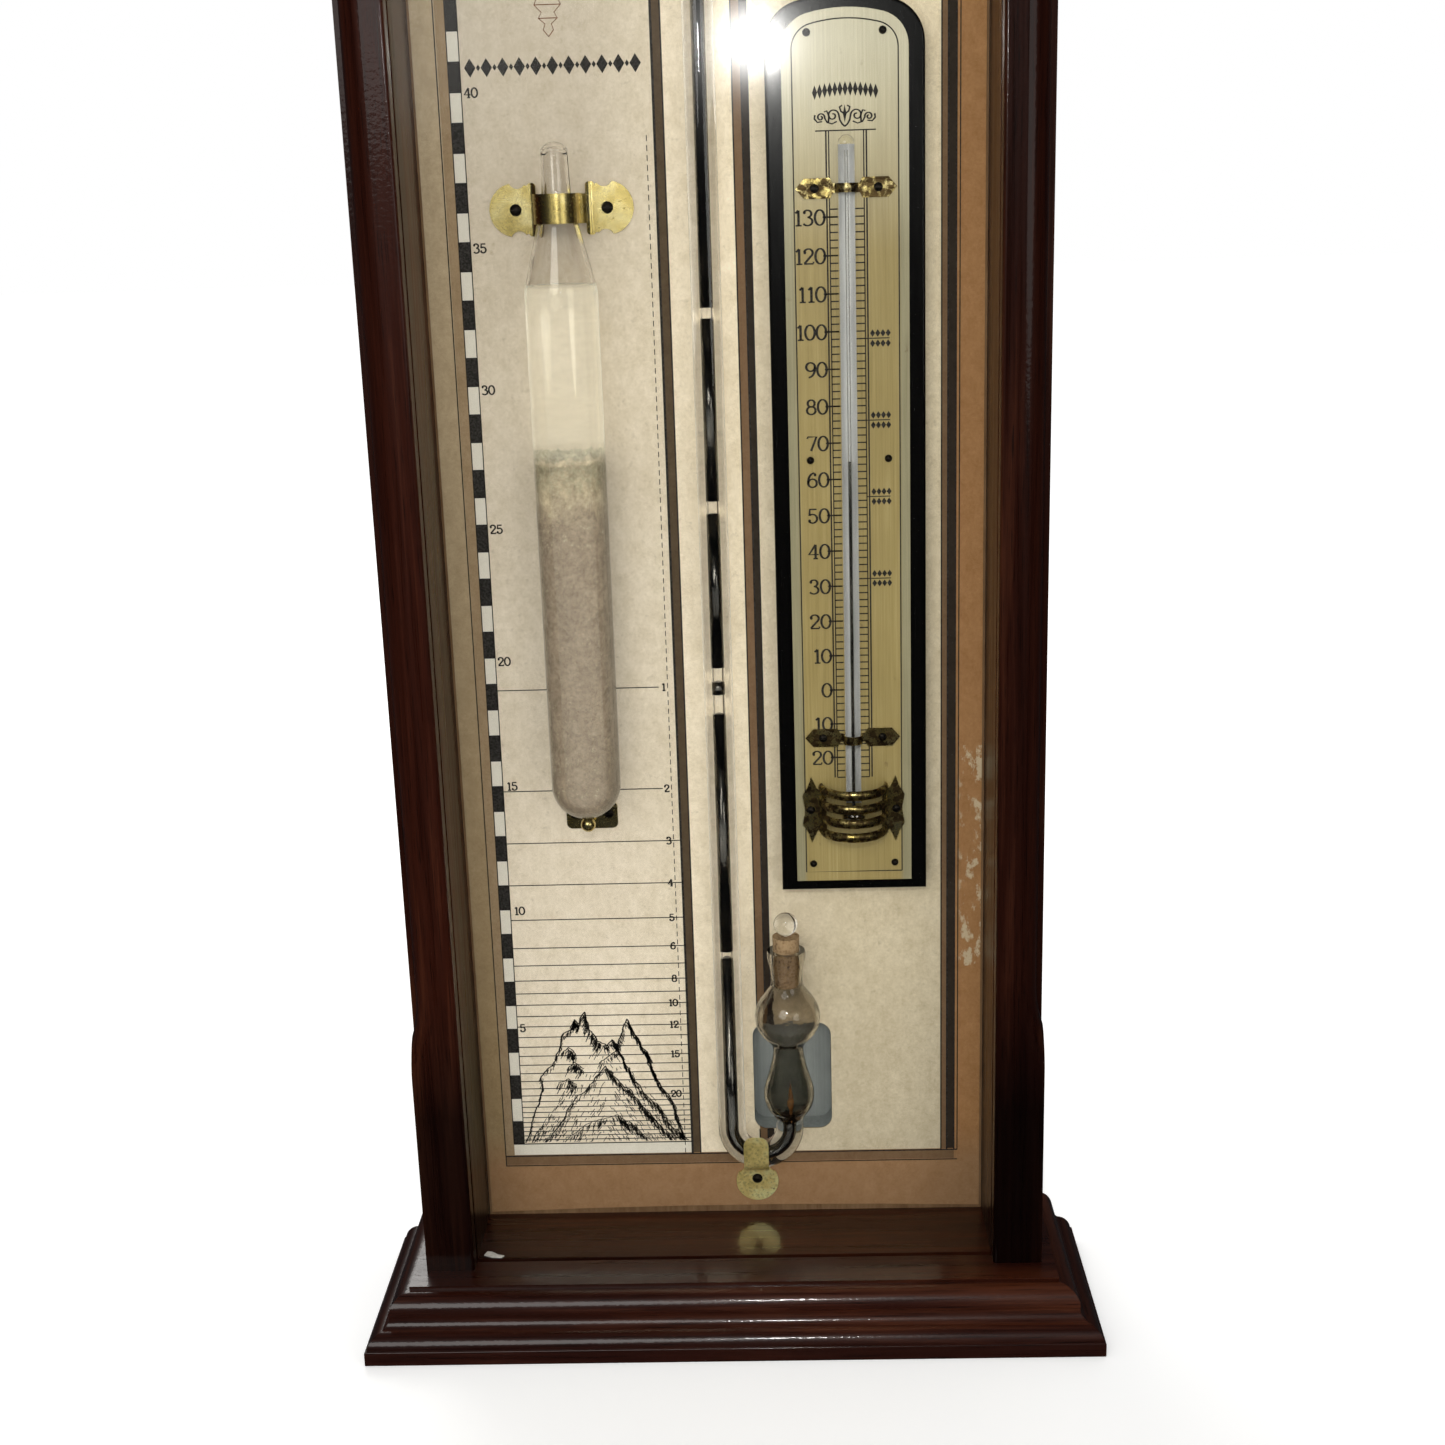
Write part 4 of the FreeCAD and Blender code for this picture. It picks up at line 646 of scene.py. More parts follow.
def chart_paper():
    """Kraft backing with cream panels, brown bands, foxing and rubs, graded across and upwards; the cream's
    grading and its lighter centre panel are painted light and shade.
    """
    m = Material("printed_paper", roughness=0.82, specular_ior_level=0.2)
    x = m.times(m.math("SUBTRACT", m.axis("X"), MIDDLE * MM), 1000.0)
    z = m.times(m.math("SUBTRACT", m.axis("Z"), FOOT * MM), 1000.0)
    fibre = m.noise(900.0, 6.0, 0.75)
    mottle = m.noise((260.0, 260.0, 200.0), 6.0, 0.7)
    cloud = m.noise((16.0, 16.0, 11.0), 3.0, 0.5)
    tone = m.plus(m.times(fibre, 0.5), m.times(mottle, 0.5))
    sideways = m.fade(x, -40.0, 45.0)
    straight = m.plus(x, m.fade(z, SEA, SEA + 400.0, -lean(SEA), 0.0))

    olive_top = m.ramp(tone, ((0.3, srgb(138, 121, 95, 1.5)), (0.7, srgb(170, 153, 126, 1.5))))
    olive_low = m.ramp(tone, ((0.3, srgb(120, 99, 68, 1.35)), (0.7, srgb(147, 125, 92, 1.35))))
    olive = m.mix(m.fade(z, 60.0, 420.0), olive_low, olive_top)
    orange = m.ramp(tone, ((0.3, srgb(130, 91, 54, 1.35)), (0.7, srgb(162, 121, 80, 1.35))))
    kraft = m.mix(sideways, olive, orange)
    foot_kraft = m.ramp(tone, ((0.3, srgb(122, 90, 60, 1.45)), (0.7, srgb(146, 114, 82, 1.45))))
    kraft = m.mix(m.fade(z, 34.0, 18.0), kraft, foot_kraft)
    worn = m.fade(m.noise((240.0, 240.0, 130.0), 5.0, 0.7), 0.53, 0.60)
    edge = m.times(m.fade(x, 86.0, 88.0), m.inside(z, 100.0, 186.0))
    kraft = m.mix(m.times(worn, edge), kraft, srgb(196, 176, 144, 1.1))

    cream_left = m.ramp(tone, ((0.32, srgb(180, 167, 144, 1.40)), (0.66, srgb(212, 200, 182, 1.34))))
    cream_right = m.ramp(tone, ((0.32, srgb(172, 157, 127, 1.46)), (0.66, srgb(206, 193, 167, 1.42))))
    smudge = m.fade(m.noise(330.0, 4.0, 0.7), 0.60, 0.74, 0.0, 0.30)
    cream_left = m.mix(smudge, cream_left, srgb(150, 134, 106))
    cream_right = m.mix(smudge, cream_right, srgb(140, 122, 88))
    # painted light and shade: the cream is lightened and darkened by height and side, and lightened in the
    # centre panel
    painted_light_grade = m.plus(m.times(m.fade(z, 60.0, 430.0, 1.24, 0.80), m.fade(x, -40.0, 45.0, 1.0, 0.0)),
                    m.times(m.fade(z, 60.0, 430.0, 0.88, 1.36), sideways))
    painted_light_grade = m.times(painted_light_grade, m.plus(1.0, m.times(m.inside(x, *CENTRE_PANEL), 0.2)))
    cream = m.scaled(m.mix(sideways, cream_left, cream_right), painted_light_grade)
    cream = m.mix(m.fade(cloud, 0.35, 0.65, 0.0, 0.16), cream, srgb(160, 140, 105))
    fox = m.fade(m.cells(95.0), 0.10, 0.03, 0.0, 0.55)
    rare = m.fade(m.noise(23.0, 2.0, 0.5), 0.60, 0.66)
    cream = m.mix(m.times(fox, rare), cream, srgb(120, 92, 52))
    sea_strip = m.times(m.inside(x, LEFT_PANEL[0] - 2, LEFT_PANEL[1]), m.inside(z, PANEL_LOW, SEA))
    white = m.math("MAXIMUM", sea_strip, m.inside(straight, -83.2, -79.2))
    cream = m.mix(m.times(white, 0.6), cream, srgb(210, 207, 196, 1.25))
    strip = m.ramp(tone, ((0.3, srgb(128, 106, 76, 1.2)), (0.7, srgb(156, 134, 106, 1.25))))

    brown = m.ramp(tone, ((0.3, srgb(74, 58, 40)), (0.7, srgb(98, 82, 62))))
    dark = m.ramp(tone, ((0.3, srgb(40, 32, 24)), (0.7, srgb(62, 52, 42))))
    tan = m.ramp(tone, ((0.3, srgb(112, 84, 58)), (0.7, srgb(136, 108, 80))))

    above = m.inside(z, PANEL_LOW, PANEL_HIGH)
    panels = m.math("MAXIMUM", m.inside(straight, LEFT_PANEL[0], LEFT_PANEL[1] - lean(SEA)),
                    m.math("MAXIMUM", m.inside(x, *CENTRE_PANEL), m.inside(x, *RIGHT_PANEL)))
    beside = m.times(m.inside(straight, -86.7, -83.2), above)
    sheet = m.mix(m.times(panels, above), m.mix(beside, kraft, strip), cream)
    sheet = m.mix(m.times(m.inside(x, -15.6, -12.2), above), sheet, brown)
    sheet = m.mix(m.times(m.inside(x, 10.8, 13.9), above), sheet, tan)
    sheet = m.mix(m.times(m.inside(x, 13.9, 16.1), above), sheet, dark)
    sheet = m.mix(m.times(m.inside(x, 80.3, 82.5), above), sheet, tan)
    sheet = m.mix(m.times(m.inside(x, 82.5, 85.3), above), sheet, dark)
    foot_band = m.times(m.inside(z, 20.2, 24.1), m.inside(x, -88.2, 85.3))
    sheet = m.mix(foot_band, sheet, tan)
    m.colour(sheet)
    m.bump(m.plus(m.times(fibre, 0.6), m.times(mottle, 0.4)), 0.00025, 0.35)
    m.rough(m.fade(fibre, 0.3, 0.7, 0.72, 0.92))
    return m.material


def window_backing(name, low_y, high_y):
    """Softwood board, washed slate grey between two depths behind the window in the chart."""
    m = Material(name, roughness=0.7, specular_ior_level=0.2)
    cloud = m.noise((90.0, 90.0, 60.0), 4.0, 0.6)
    grain = m.noise((700.0, 700.0, 14.0), 4.0, 0.6)
    tone = m.plus(m.times(cloud, 0.5), m.times(grain, 0.5))
    wash = m.ramp(tone, ((0.3, srgb(92, 95, 94, 2.0)), (0.7, srgb(116, 120, 118, 2.0))))
    wood = m.ramp(tone, ((0.3, (0.12, 0.06, 0.026)), (0.7, (0.27, 0.16, 0.08))))
    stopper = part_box("ball_stopper")
    middle = (stopper[0][0] + stopper[1][0]) / 2
    area = m.times(m.inside(m.axis("X"), middle - 0.024, middle + 0.024), m.inside(m.axis("Z"), 0.050, 0.112))
    area = m.times(area, m.inside(m.axis("Y"), low_y, high_y))
    m.colour(m.mix(area, wood, wash))
    m.bump(grain, 0.0001, 0.4)
    return m.material


def chart_ink():
    """Ladder of heights, pressure lines, their numbers and the panel rules."""
    shapes = []
    edges = (-83.2, -79.2)
    rungs = 45
    for k in range(rungs + 1):
        z = SEA + k * LADDER_PITCH
        low_x, high_x = (x + lean(z) for x in edges)
        shapes.append(rectangle(low_x, high_x, z - 0.15, z + 0.15))
        if k % 2 == 0 and k < rungs:
            after = lean(z + LADDER_PITCH)
            shapes.append([(low_x, z), (high_x, z), (edges[1] + after, z + LADDER_PITCH),
                           (edges[0] + after, z + LADDER_PITCH)])
    ladder_top = SEA + rungs * LADDER_PITCH
    for x in edges:
        shapes.append([(x - 0.18 + lean(SEA), SEA), (x + 0.18 + lean(SEA), SEA), (x + 0.18, ladder_top),
                       (x - 0.18, ladder_top)])
    for label, drop in LABEL_DROPS.items():
        z = SEA + label * LADDER_PITCH
        right = (-73.7 if label > 9 else -75.9) + lean(z)
        shapes += number(str(label), right, z - drop, 3.1, 0.50, 0.62)
    shapes.append(rectangle(-84.6, -15.8, SEA - 0.22, SEA + 0.22))
    for pressure in range(1, 30):
        z = pressure_height(pressure)
        right = -15.8 if pressure > 2 else -21.5
        shapes.append(rectangle(-79.2 + lean(z), right, z - 0.18, z + 0.18))
        if pressure in PRESSURE_HEIGHTS:
            shapes += number(str(pressure), -18.9, z - 1.35, 2.7, 0.5, 0.62)
    for k in range(0, 118):
        z = PANEL_LOW + 3.2 * k
        shapes.append(rectangle(-18.4, -18.1, z, z + 1.9))
    top, low = PANEL_HIGH, PANEL_LOW
    shapes.append([(-86.9 + lean(SEA), 19.8), (-86.5 + lean(SEA), 19.8), (-86.0, top), (-86.4, top)])
    for x, half in ((-15.5, 0.42), (-12.35, 0.25), (10.8, 0.25), (13.9, 0.3),
                    (16.1, 0.22), (80.3, 0.25), (82.5, 0.3), (85.3, 0.22), (86.5, 0.2)):
        for z0, z1 in ((low - 0.6, 33.9), (77.9, top)) if 8.9 < x < 38.6 else ((low - 0.6, top),):
            shapes.append(rectangle(x - half, x + half, z0, z1))
    shapes += [lozenge(-76.0 + 5.5 * k, 423.7, 1.9, 3.0) for k in range(11)]
    shapes += [lozenge(-73.25 + 5.5 * k, 423.7, 0.7, 1.1) for k in range(10)]
    for z, half in ((23.9, 0.28), (19.8, 0.22), (top, 0.28), (top + 1.6, 0.22)):
        shapes.append(rectangle(-88.3 if z < top else -86.4, 86.5, z - half, z + half))
    return shapes


def ridge(points, seed, depth=5, rough=0.11):
    """A jagged line through the points, by midpoint displacement."""
    rng = random.Random(seed)
    line = list(points)
    for _ in range(depth):
        finer = [line[0]]
        for a, b in zip(line, line[1:]):
            reach = math.hypot(b[0] - a[0], b[1] - a[1])
            off = rng.uniform(-rough, rough) * reach
            nx, nz = (a[1] - b[1]) / (reach or 1), (b[0] - a[0]) / (reach or 1)
            finer += [((a[0] + b[0]) / 2 + off * nx, (a[1] + b[1]) / 2 + off * nz), b]
        line = finer
    return line


def mountain_shapes():
    """A group of peaks in outline, shaded with short strokes."""
    rng = random.Random(7)
    base = SEA + 0.5
    outlines = [
        ([(-80.0, base), (-77.5, 36.0), (-76.0, 42.0), (-72.0, 52.0), (-72.6, 57.5), (-68.0, 62.0),
          (-66.3, 66.5), (-64.0, 74.0), (-60.0, 77.0), (-58.6, 81.0), (-56.8, 79.0), (-54.6, 84.0),
          (-53.4, 77.0), (-50.5, 72.0), (-46.6, 70.0), (-44.6, 72.4), (-42.4, 70.0), (-40.4, 76.0),
          (-38.6, 80.8), (-37.0, 76.5), (-33.0, 68.5), (-31.2, 66.5), (-30.0, 60.0), (-27.6, 54.0),
          (-22.6, 46.0), (-20.5, 38.0), (-16.9, base)], 3, 0.34),
        ([(-50.0, 62.5), (-45.5, 66.0), (-42.6, 68.0), (-40.0, 62.0), (-38.0, 57.0), (-32.5, 49.0),
          (-26.5, 41.0), (-21.0, 34.0), (-18.0, base)], 5, 0.30),
        ([(-72.5, base), (-66.0, 38.0), (-61.0, 46.0), (-55.0, 52.0), (-50.0, 58.6), (-47.6, 61.5),
          (-44.0, 56.5), (-38.5, 51.5), (-33.0, 43.0), (-29.0, 38.0), (-23.5, base)], 11, 0.30),
        ([(-65.0, base), (-59.0, 35.0), (-53.0, 38.5), (-48.5, 39.5), (-44.0, 41.0), (-41.0, 38.5),
          (-37.0, 35.5), (-31.0, base)], 19, 0.24),
        ([(-64.5, 66.0), (-61.5, 69.5), (-58.5, 66.0)], 23, 0.28),
        ([(-62.5, 60.0), (-59.5, 63.5), (-56.0, 60.5)], 29, 0.28),
        ([(-66.0, 55.0), (-62.0, 56.5), (-59.0, 54.0)], 31, 0.24),
    ]
    shapes = []
    for points, seed, width in outlines:
        line = ridge(points, seed)
        shapes += stroke(line, width, width * 1.6)
        for (x, z), (_, after) in zip(line, line[1:]):
            room = z - base
            if room < 1.5:
                continue
            shade = after < z
            for _ in range(1 if rng.random() < (0.75 if shade else 0.35) else 0):
                length = min(room * 0.5, rng.uniform(0.8, 4.2 if shade else 2.2))
                slope = rng.uniform(0.1, 0.6) * (1 if x > -48 else -1)
                x0, z0 = x + rng.uniform(-0.4, 0.4), z - rng.uniform(0.2, 1.2)
                path = [(x0 + slope * length * t / 4 + rng.uniform(-0.12, 0.12), z0 - length * t / 4)
                        for t in range(5)]
                shapes += stroke(path, 0.2, 0.34 if shade else 0.24)
    for _ in range(520):
        x = rng.uniform(-77.0, -19.0)
        limit = base + 44.0 * (1 - abs(x + 48.0) / 30.0)
        if limit < base + 2:
            continue
        z = base + 1.0 + (limit - base) * rng.random() ** 1.3
        slope = rng.uniform(0.3, 0.8) * (1 if x > -48 else -1)
        length = rng.uniform(0.6, 2.6)
        path = [(x, z), (x + slope * length * 0.5, z - length * 0.45), (x + slope * length, z - length)]
        shapes += stroke(path, 0.18, 0.26)
    return [[(x, max(z, base)) for x, z in shape] for shape in shapes]


def pendant_shapes(x, z, size):
    """A small turned-drop ornament with cross bars."""
    outline = [(0.0, -1.0), (0.16, -0.8), (0.10, -0.62), (0.30, -0.45), (0.20, -0.28), (0.42, -0.05),
               (0.30, 0.2), (0.46, 0.36), (0.24, 0.52), (0.34, 0.7), (0.12, 0.82), (0.0, 1.0)]
    ring = outline + [(-u, v) for u, v in outline[::-1][1:-1]]
    shapes = stroke([(x + size * u, z + size * v) for u, v in ring + ring[:1]], 0.3)
    for v, half in ((-0.45, 0.3), (-0.05, 0.42), (0.36, 0.46), (0.7, 0.34)):
        shapes.append(rectangle(x - size * half, x + size * half, z + size * v - 0.16, z + size * v + 0.16))
    return shapes


def spiral(cx, cz, radius, start, turns, sign):
    """Points winding in towards a centre from start degrees."""
    points = []
    for i in range(31):
        t = i / 30
        angle = math.radians(start + sign * 360 * turns * t)
        r = radius * (1 - 0.78 * t)
        points.append((cx + r * math.cos(angle), cz + r * math.sin(angle)))
    return points


def scroll(x, z, side):
    """Half of a leafy scroll ornament, 10 mm to one side of x and about 7 mm high."""
    paths = [[(0.0, -3.2), (0.9, -2.4), (1.6, -1.2), (1.9, 0.2)] + spiral(3.9, 0.3, 2.0, 180, 1.3, -1),
             [(2.6, -1.6), (4.2, -2.3), (5.8, -1.8), (6.6, -0.4)] + spiral(7.9, -0.2, 1.35, 180, 1.25, -1),
             [(7.4, -1.5), (9.0, -1.7), (10.0, -0.6), (9.8, 0.6)],
             [(0.0, 0.6), (1.3, 1.6), (1.7, 2.9), (0.8, 3.4)],
             [(5.4, -2.0), (5.2, 0.2), (5.9, 1.8), (6.8, 1.5)]]
    shapes = []
    for path in paths:
        shapes += stroke([(x + side * u, z + v) for u, v in path], 0.40, 0.62)
    return shapes


def lozenge(x, z, half_w, half_h):
    return [(x - half_w, z), (x, z - half_h), (x + half_w, z), (x, z + half_h)]


def arch_line(centre_x, half_w, z0, z1, corner_r, crown_r):
    """The rule round the plate: straight sides, small corner arcs and a flat crown."""
    crown_z = z1 - crown_r
    corner_x = half_w - corner_r
    corner_z = crown_z + math.sqrt((crown_r - corner_r) ** 2 - corner_x ** 2)
    lean = math.degrees(math.atan2(corner_x, corner_z - crown_z))
    right = [(half_w, z0)] + bow(corner_x, corner_z, corner_r, corner_r, 0, 90 - lean, 10)
    crown = bow(0.0, crown_z, crown_r, crown_r, 90 - lean, 90 + lean, 16)
    left = bow(-corner_x, corner_z, corner_r, corner_r, 90 + lean, 180, 10) + [(-half_w, z0), (half_w, z0)]
    return [(centre_x + x, z) for x, z in right + crown + left]


def thermometer_shapes():
    low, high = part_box("thermometer_scale")
    centre = (low[0] + high[0]) / 2 / MM
    foot = low[2] / MM

    def height(degrees):
        return foot + 71.8 + 1.249 * degrees

    shapes = stroke(arch_line(centre, 17.4, foot + 3.4, high[2] / MM - 3.4, 8.0, 46.0), 0.42)
    top = foot + 261.6
    uprights = ((-6.5, 0.26), (-5.6, 0.2), (5.9, 0.2), (6.8, 0.26))
    for x, half in uprights:
        shapes.append(rectangle(centre + x - half, centre + x + half, height(-26), top))
    for inner, outer in ((-5.6, -2.9), (2.9, 5.9)):
        for k in range(-13, 67):
            z = height(2 * k)
            shapes.append(rectangle(centre + inner, centre + outer, z - 0.22, z + 0.22))
    for degrees in range(-20, 131, 10):
        z = height(degrees)
        shapes += number(str(abs(degrees)), centre - 6.9, z - 2.6, 5.1, 0.50, 0.84)
        shapes.append(rectangle(centre - 8.0, centre - 2.9, z - 0.27, z + 0.27))
    for degrees in (98, 76, 55, 32):
        z = height(degrees)
        shapes.append(rectangle(centre + 5.9, centre + 14.0, z - 0.18, z + 0.18))
        for step in (-1.7, 1.7):
            shapes += [lozenge(centre + 8.3 + 1.75 * k, z + step, 0.85, 1.25) for k in range(4)]
    shapes.append(rectangle(centre - 10.0, centre + 10.0, top - 0.2, top + 0.2))
    for side in (-1, 1):
        shapes += scroll(centre - 0.2, top + 4.4, side)
    shapes.append(lozenge(centre - 0.2, top + 5.2, 0.6, 2.9))
    for k in range(-6, 7):
        turn = math.radians(2.0 * k)
        shapes.append(lozenge(centre + 48.0 * math.sin(turn), top - 35.0 + 48.0 * math.cos(turn), 0.85, 2.3))
    return shapes


def card_shapes(side):
    """Inches and tenths of mercury, with the numbers away from the tube."""
    low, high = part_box("right_scale_card" if side > 0 else "left_scale_card")
    near, far = sorted((abs(low[0]), abs(high[0])))
    near, far = near / MM, far / MM
    foot = low[2] / MM
    shapes = []
    for k in range(1, 50):
        z = foot + 1.0 + 2.54 * k
        length = 9.0 if (k - 5) % 10 == 0 else 6.5 if (k - 5) % 5 == 0 else 4.5
        x = sorted((side * (near + 1.2), side * (near + 1.2 + length)))
        shapes.append(rectangle(x[0], x[1], z - 0.14, z + 0.14))
    for i, inches in enumerate(range(27, 32)):
        z = foot + 13.8 + 25.4 * i
        right = side * (near + 17.0) + 4.0
        shapes += number(str(inches), right, z - 3.0, 6.0, 0.4, 0.8)
    edge = sorted((side * (near + 1.2), side * (far - 1.6)))
    rule = rectangle(edge[0], edge[1], foot + 1.8, high[2] / MM - 1.8)
    return shapes + stroke(rule + rule[:1], 0.3)


def build_prints():
    ink = printing_ink("print_black", (0.014, 0.012, 0.010))
    front = SHEET_LOW[1] - 0.00006

    def placed(shapes):
        return [[(x + MIDDLE, z + FOOT) for x, z in shape] for shape in shapes]

    prints = {
        "chart_rules": (placed(chart_ink()), front),
        "chart_mountains": (placed(mountain_shapes()), front - 0.00002),
        "thermometer_print": (thermometer_shapes(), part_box("thermometer_scale")[0][1] - 0.00005),
        "left_card_print": (card_shapes(-1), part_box("left_scale_card")[0][1] - 0.00005),
        "right_card_print": (card_shapes(1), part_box("right_scale_card")[0][1] - 0.00005),
    }
    for name, (shapes, y) in prints.items():
        make_piece(name, flat_mesh(name, shapes, y), ink, smooth=False)
    rust = printing_ink("print_rust", (0.10, 0.035, 0.012))
    drop = placed(pendant_shapes(-49.2, 443.2, 10.5))
    mesh = flat_mesh("chart_ornament", drop, front)
    make_piece("chart_ornament", mesh, rust, smooth=False)


# ---------------------------------------------------------------- glass vessels and their contents
def build_storm_glass():
    low, high = corners_of("storm_crystals")
    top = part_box("storm_liquid")[1][2]
    centre = (low + high) / 2
    radius = (high.x - low.x) / 2
    grow = 0.00003
    outer = radius + grow
    steps = 14
    bowl = [(outer * math.sin(math.pi / 2 * i / steps),
             low.z + radius - outer * math.cos(math.pi / 2 * i / steps)) for i in range(steps + 1)]
    side = [(outer, low.z + radius + (top - 0.0006 - low.z - radius) * i / 20) for i in range(1, 21)]
    side += [(outer - 0.0006, top + 0.0003)]
    meniscus = [((outer - 0.0006) * (1 - i / 12), top + 0.0003 - 0.0007 * min(1.0, i / 4) ** 0.6)
                for i in range(1, 13)]
    liquid = turned("storm_spirit", centre, bowl + side + meniscus)
    make_piece("storm_spirit", liquid, spirit("storm_liquid"), stands_for=["storm_liquid"])

    r = radius - 0.00022
    rows, around = 170, 96
    crest = high.z
    profile = [(r * math.sin(math.pi / 2 * i / 16),
                low.z + 0.0002 + radius - r * math.cos(math.pi / 2 * i / 16)) for i in range(17)]
    start = profile[-1][1]
    profile += [(r, start + (crest - start) * i / rows) for i in range(1, rows + 1)]
    profile += [(r * (1 - i / 18), crest + 0.0010) for i in range(1, 19)]
    mass = turned("crystal_mass", centre, profile, around)
    for vert in mass.vertices:
        spot = vert.co * 420.0
        lump = noise.noise(spot) + 0.6 * noise.noise(spot * 2.7)
        away = Vector((vert.co.x - centre.x, vert.co.y - centre.y, 0.0))
        near_top = max(0.0, 1 - (crest - vert.co.z) / 0.006)
        if away.length > 1e-6:
            vert.co -= away.normalized() * (0.00028 + 0.00028 * lump) * (1 + 1.6 * near_top)
        if near_top > 0:
            vert.co.z += 0.0016 * near_top * (lump + 0.5 * noise.noise(vert.co * 150.0))
    make_piece("crystal_mass", mass, crystals("camphor_crystals"), stands_for=["storm_crystals"])

    rng = random.Random(21)
    verts, faces = [], []
    zones = [(2600, crest - 0.0100, crest + 0.0032, 0.0009), (600, crest - 0.0300, crest, 0.0006),
             (260, low.z + 0.008, low.z + 0.028, 0.0006), (900, low.z + 0.010, crest - 0.02, 0.0004)]
    for count, z0, z1, size in zones:
        for _ in range(count):
            z = z0 + (z1 - z0) * rng.random() ** (0.7 if z1 > crest else 1.0)
            angle = rng.uniform(0, 2 * math.pi)
            draw = rng.random()
            spread = (r - 0.0001) * (math.sqrt(draw) if z > crest - 0.001 else 1.0 - 0.03 * draw)
            spot = Vector((centre.x + spread * math.cos(angle), centre.y + spread * math.sin(angle), z))
            turn = Euler([rng.uniform(0, math.pi) for _ in range(3)]).to_matrix()
            long, wide = size * rng.uniform(0.5, 1.5), size * rng.uniform(0.15, 0.45)
            first = len(verts)
            for u, v in ((-long, 0), (-long * 0.4, wide), (long * 0.5, wide * 0.8), (long, 0),
                         (long * 0.3, -wide), (-long * 0.5, -wide * 0.7)):
                corner = spot + turn @ Vector((u, v, 0))
                flat = Vector((corner.x - centre.x, corner.y - centre.y, 0.0))
                if flat.length > r:
                    flat = flat.normalized() * r
                verts.append((centre.x + flat.x, centre.y + flat.y, corner.z))
            faces.append(tuple(range(first, first + 6)))
    flakes = new_mesh("crystal_flakes", verts, faces)
    make_piece("crystal_flakes", flakes, crystals("camphor_flakes", light=True),
               smooth=False)


def build_residue():
    """An amber streak inside the lower bulb, and a scrap of paper lying behind the glass."""
    low, high = corners_of("ball_stopper")
    centre = Vector(((low.x + high.x) / 2 + 0.0005, (low.y + high.y) / 2 + 0.0035, 0.0))
    rng = random.Random(4)
    foot, height, rows = 0.0665, 0.0165, 16
    profile = [(0.0, foot)]
    profile += [(0.0011 * math.sin(math.pi * (i + 0.5) / rows) * rng.uniform(0.7, 1.3),
                 foot + height * (i + 0.5) / rows) for i in range(rows)]
    profile.append((0.0, 0.0832))
    amber = Material("amber_streak", roughness=0.45, specular_ior_level=0.4)
    amber.colour(amber.ramp(amber.noise(500.0, 4.0, 0.6),
                            ((0.35, (0.16, 0.055, 0.012)), (0.65, (0.50, 0.22, 0.05)))))
    make_piece("bulb_streak", turned("bulb_streak", centre, profile, 20), amber.material)

    pane_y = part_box("front_glass")[1][1]
    floor_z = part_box("base_board")[1][2]
    corners = [(-93.9, 2.2), (-93.0, 4.9), (-91.0, 4.4), (-88.6, 2.4), (-86.2, 1.7), (-87.2, 0.4),
               (-90.6, 0.7)]
    verts = [(x * MM, pane_y + y * MM, floor_z + h) for h in (0.00005, 0.00035) for x, y in corners]
    n = len(corners)
    faces = [tuple(range(n))[::-1], tuple(range(n, 2 * n))]
    faces += [(i, (i + 1) % n, n + (i + 1) % n, n + i) for i in range(n)]
    scrap = new_mesh("paper_scrap", verts, faces)
    white = Material("scrap_paper", roughness=0.8, specular_ior_level=0.2)
    white.colour(white.ramp(white.noise(900.0, 4.0, 0.6),
                            ((0.35, (0.62, 0.60, 0.55)), (0.65, (0.80, 0.78, 0.73)))))
    make_piece("paper_scrap", scrap, white.material, smooth=False)


def build_columns():
    for node, name, grow, shade in (("mercury_column", "mercury_thread", 0.00003, 1.3),
                                    ("thermometer_mercury", "thermometer_thread", 0.00001, 3.0)):
        mesh = merged_copy(node, name, grow)
        make_piece(name, mesh, mercury(name, shade), stands_for=[node])

    tube_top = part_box("thermometer_tube")[1][2]
    thread_low, thread_high = corners_of("thermometer_mercury")
    centre = (thread_low + thread_high) / 2
    radius, skin_t = 0.00215, 0.00045
    verts, faces = [], []
    rows, arc_steps = 40, 12
    foot = thread_low.z + 0.0085
    top = tube_top - 0.0030
    for i in range(rows + 1):
        z = foot + (top - foot) * i / rows
        for skin in (0.0, skin_t):
            for k in range(arc_steps + 1):
                angle = math.radians(20 + 140 * k / arc_steps)
                rr = radius - skin
                verts.append((centre.x + rr * math.cos(angle), centre.y + rr * math.sin(angle), z))
    ring = 2 * (arc_steps + 1)
    loop = list(range(arc_steps + 1)) + list(range(2 * arc_steps + 1, arc_steps, -1))
    for i in range(rows):
        for a, b in zip(loop, loop[1:] + loop[:1]):
            faces.append((i * ring + a, i * ring + b, (i + 1) * ring + b, (i + 1) * ring + a))
    faces.append(tuple(loop[::-1]))
    faces.append(tuple(rows * ring + a for a in loop))
    mesh = new_mesh("opal_back", verts, faces)
    make_piece("opal_back", mesh, opal("opal_backing"))


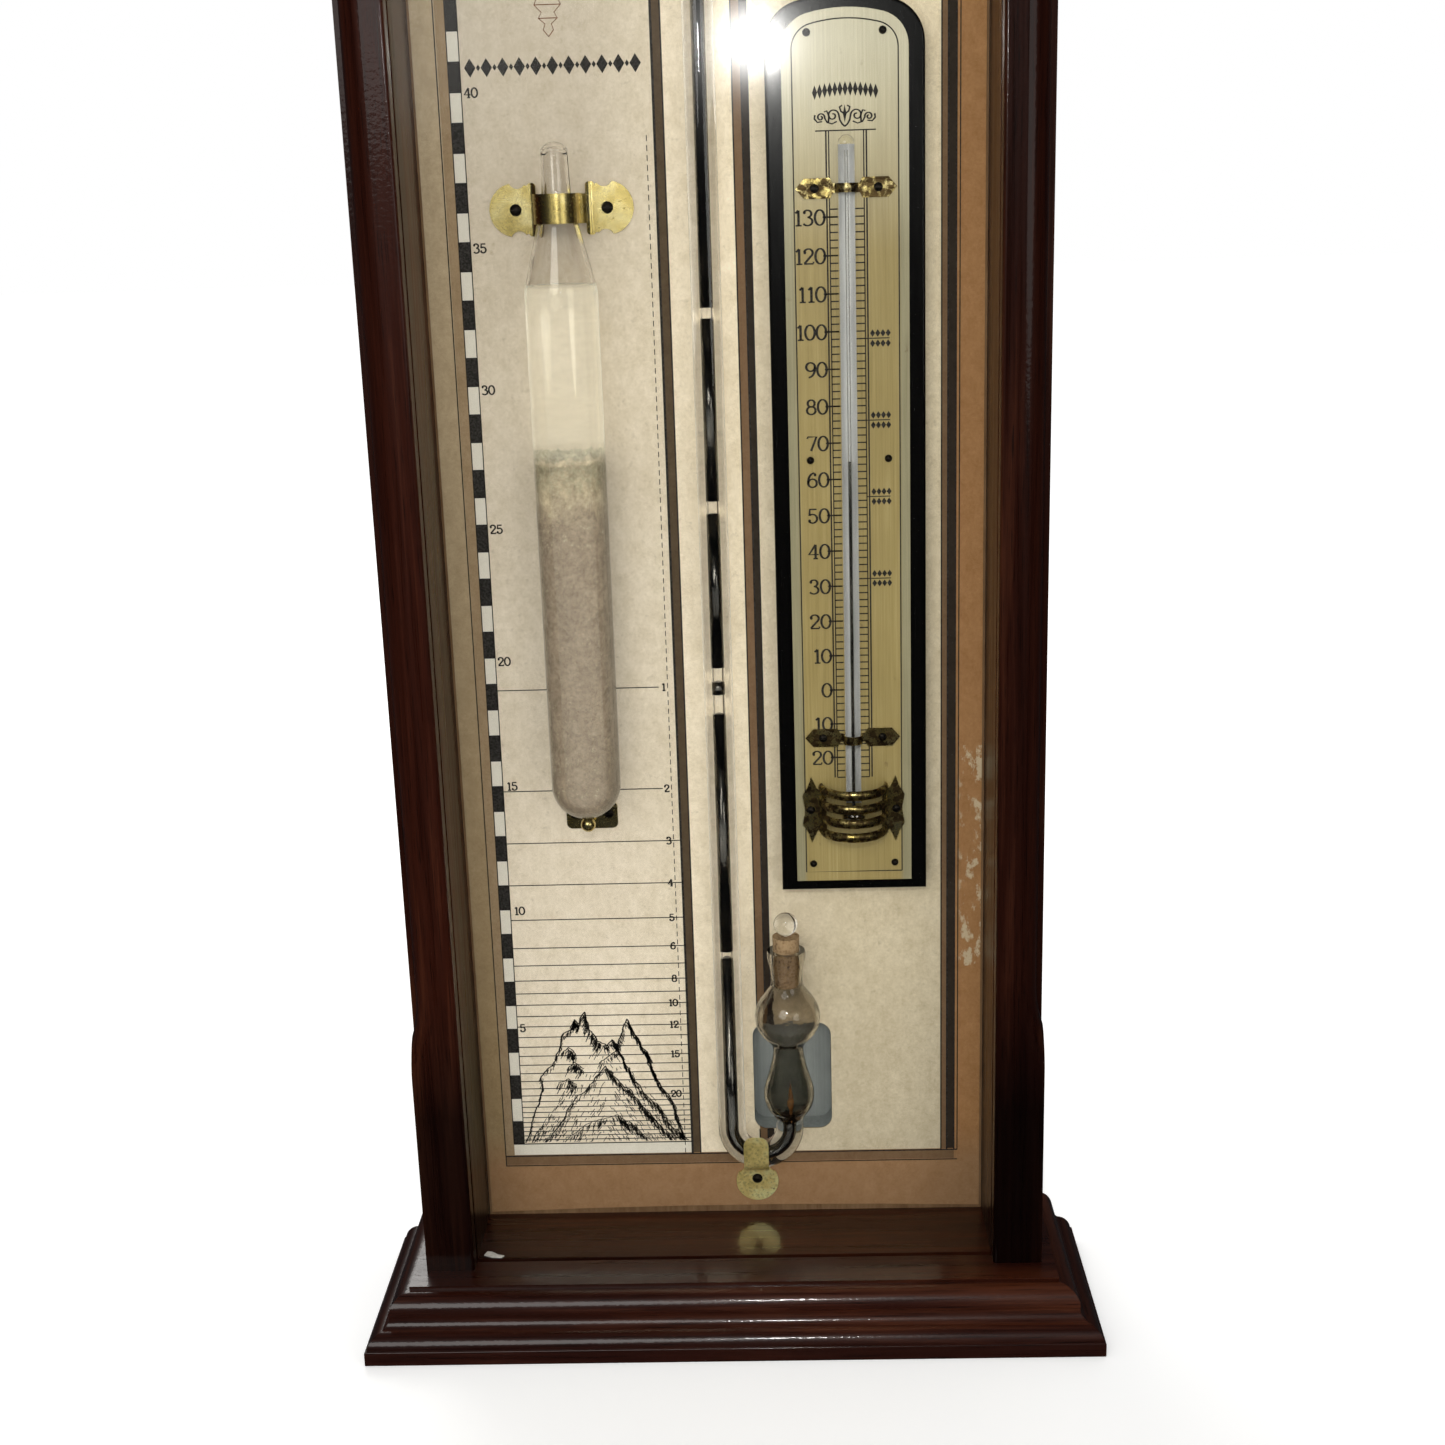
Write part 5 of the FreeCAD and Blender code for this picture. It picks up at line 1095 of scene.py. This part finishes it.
# ---------------------------------------------------------------- finishes on the CAD nodes
def finish_nodes():
    glass = clear_glass("clear_glass", 0.93)
    brass = polished_brass("polished_brass", 0.1)
    aged = polished_brass("aged_brass", 0.75)
    steel = dark_steel("dark_steel")
    across, deep = mahogany("mahogany_x", "x", 1.35, 0.62), mahogany("mahogany_y", "y", 1.1, 0.45)
    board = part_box("chart_board")
    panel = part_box("back_panel")
    finishes = {
        "front_glass": pane_glass("window_pane"), "chart_sheet": chart_paper(),
        # painted light and shade: one wood, the left post made lighter and the right darker
        "left_post": mahogany("mahogany_left_lit", "z", 1.5, 0.24, POST_SHADE_HEIGHT),
        "right_post": mahogany("mahogany_right_shaded", "z", 0.9, 0.2, POST_SHADE_HEIGHT),
        "base_board": across, "top_board": across,
        "pediment": across, "plinth_front_moulding": across, "cornice_front_moulding": across,
        "plinth_left_moulding": deep, "plinth_right_moulding": deep, "cornice_left_moulding": deep,
        "cornice_right_moulding": deep,
        "chart_board": window_backing("board_wood", board[0][1] + 0.0003, board[1][1]),
        "back_panel": window_backing("panel_wood", panel[0][1] - 0.001, panel[0][1] + 0.001),
        "cistern_cork": cork("cork"), "siphon_tube": tube_glass("tube_glass"),
        "storm_bottle": clear_glass("bottle_glass", 0.93, (0.93, 0.92, 0.91)),
        "thermometer_board": ebony("ebonised_wood"),
        "thermometer_scale": ivorine("ivorine"),
    }
    card = Material("card", roughness=0.7, specular_ior_level=0.3)
    card.colour(card.ramp(card.noise(300.0, 5.0, 0.65),
                          ((0.3, (0.60, 0.53, 0.38)), (0.7, (0.72, 0.66, 0.50)))))
    card.bump(card.noise(1200.0, 3.0, 0.6), 0.0001, 0.3)
    finishes["left_scale_card"] = finishes["right_scale_card"] = card.material
    finishes["siphon_bottom_clip"] = polished_brass("hammered_brass", 0.0, 0.5)
    by_slot = {"clear_glass": glass, "polished_brass": brass, "aged_brass": aged, "dark_steel": steel}
    slots = {part["node"]: part["material_slot"] for part in frame["record"]["subparts"]}
    for name, node in nodes.items():
        finish = finishes.get(name) or by_slot.get(slots.get(name))
        if finish:
            for slot in node.material_slots:
                slot.material = finish


build_stage()
build_camera()
build_lights()
finish_nodes()
build_prints()
build_storm_glass()
build_columns()
build_residue()

bpy.context.scene.view_settings.view_transform = "Standard"
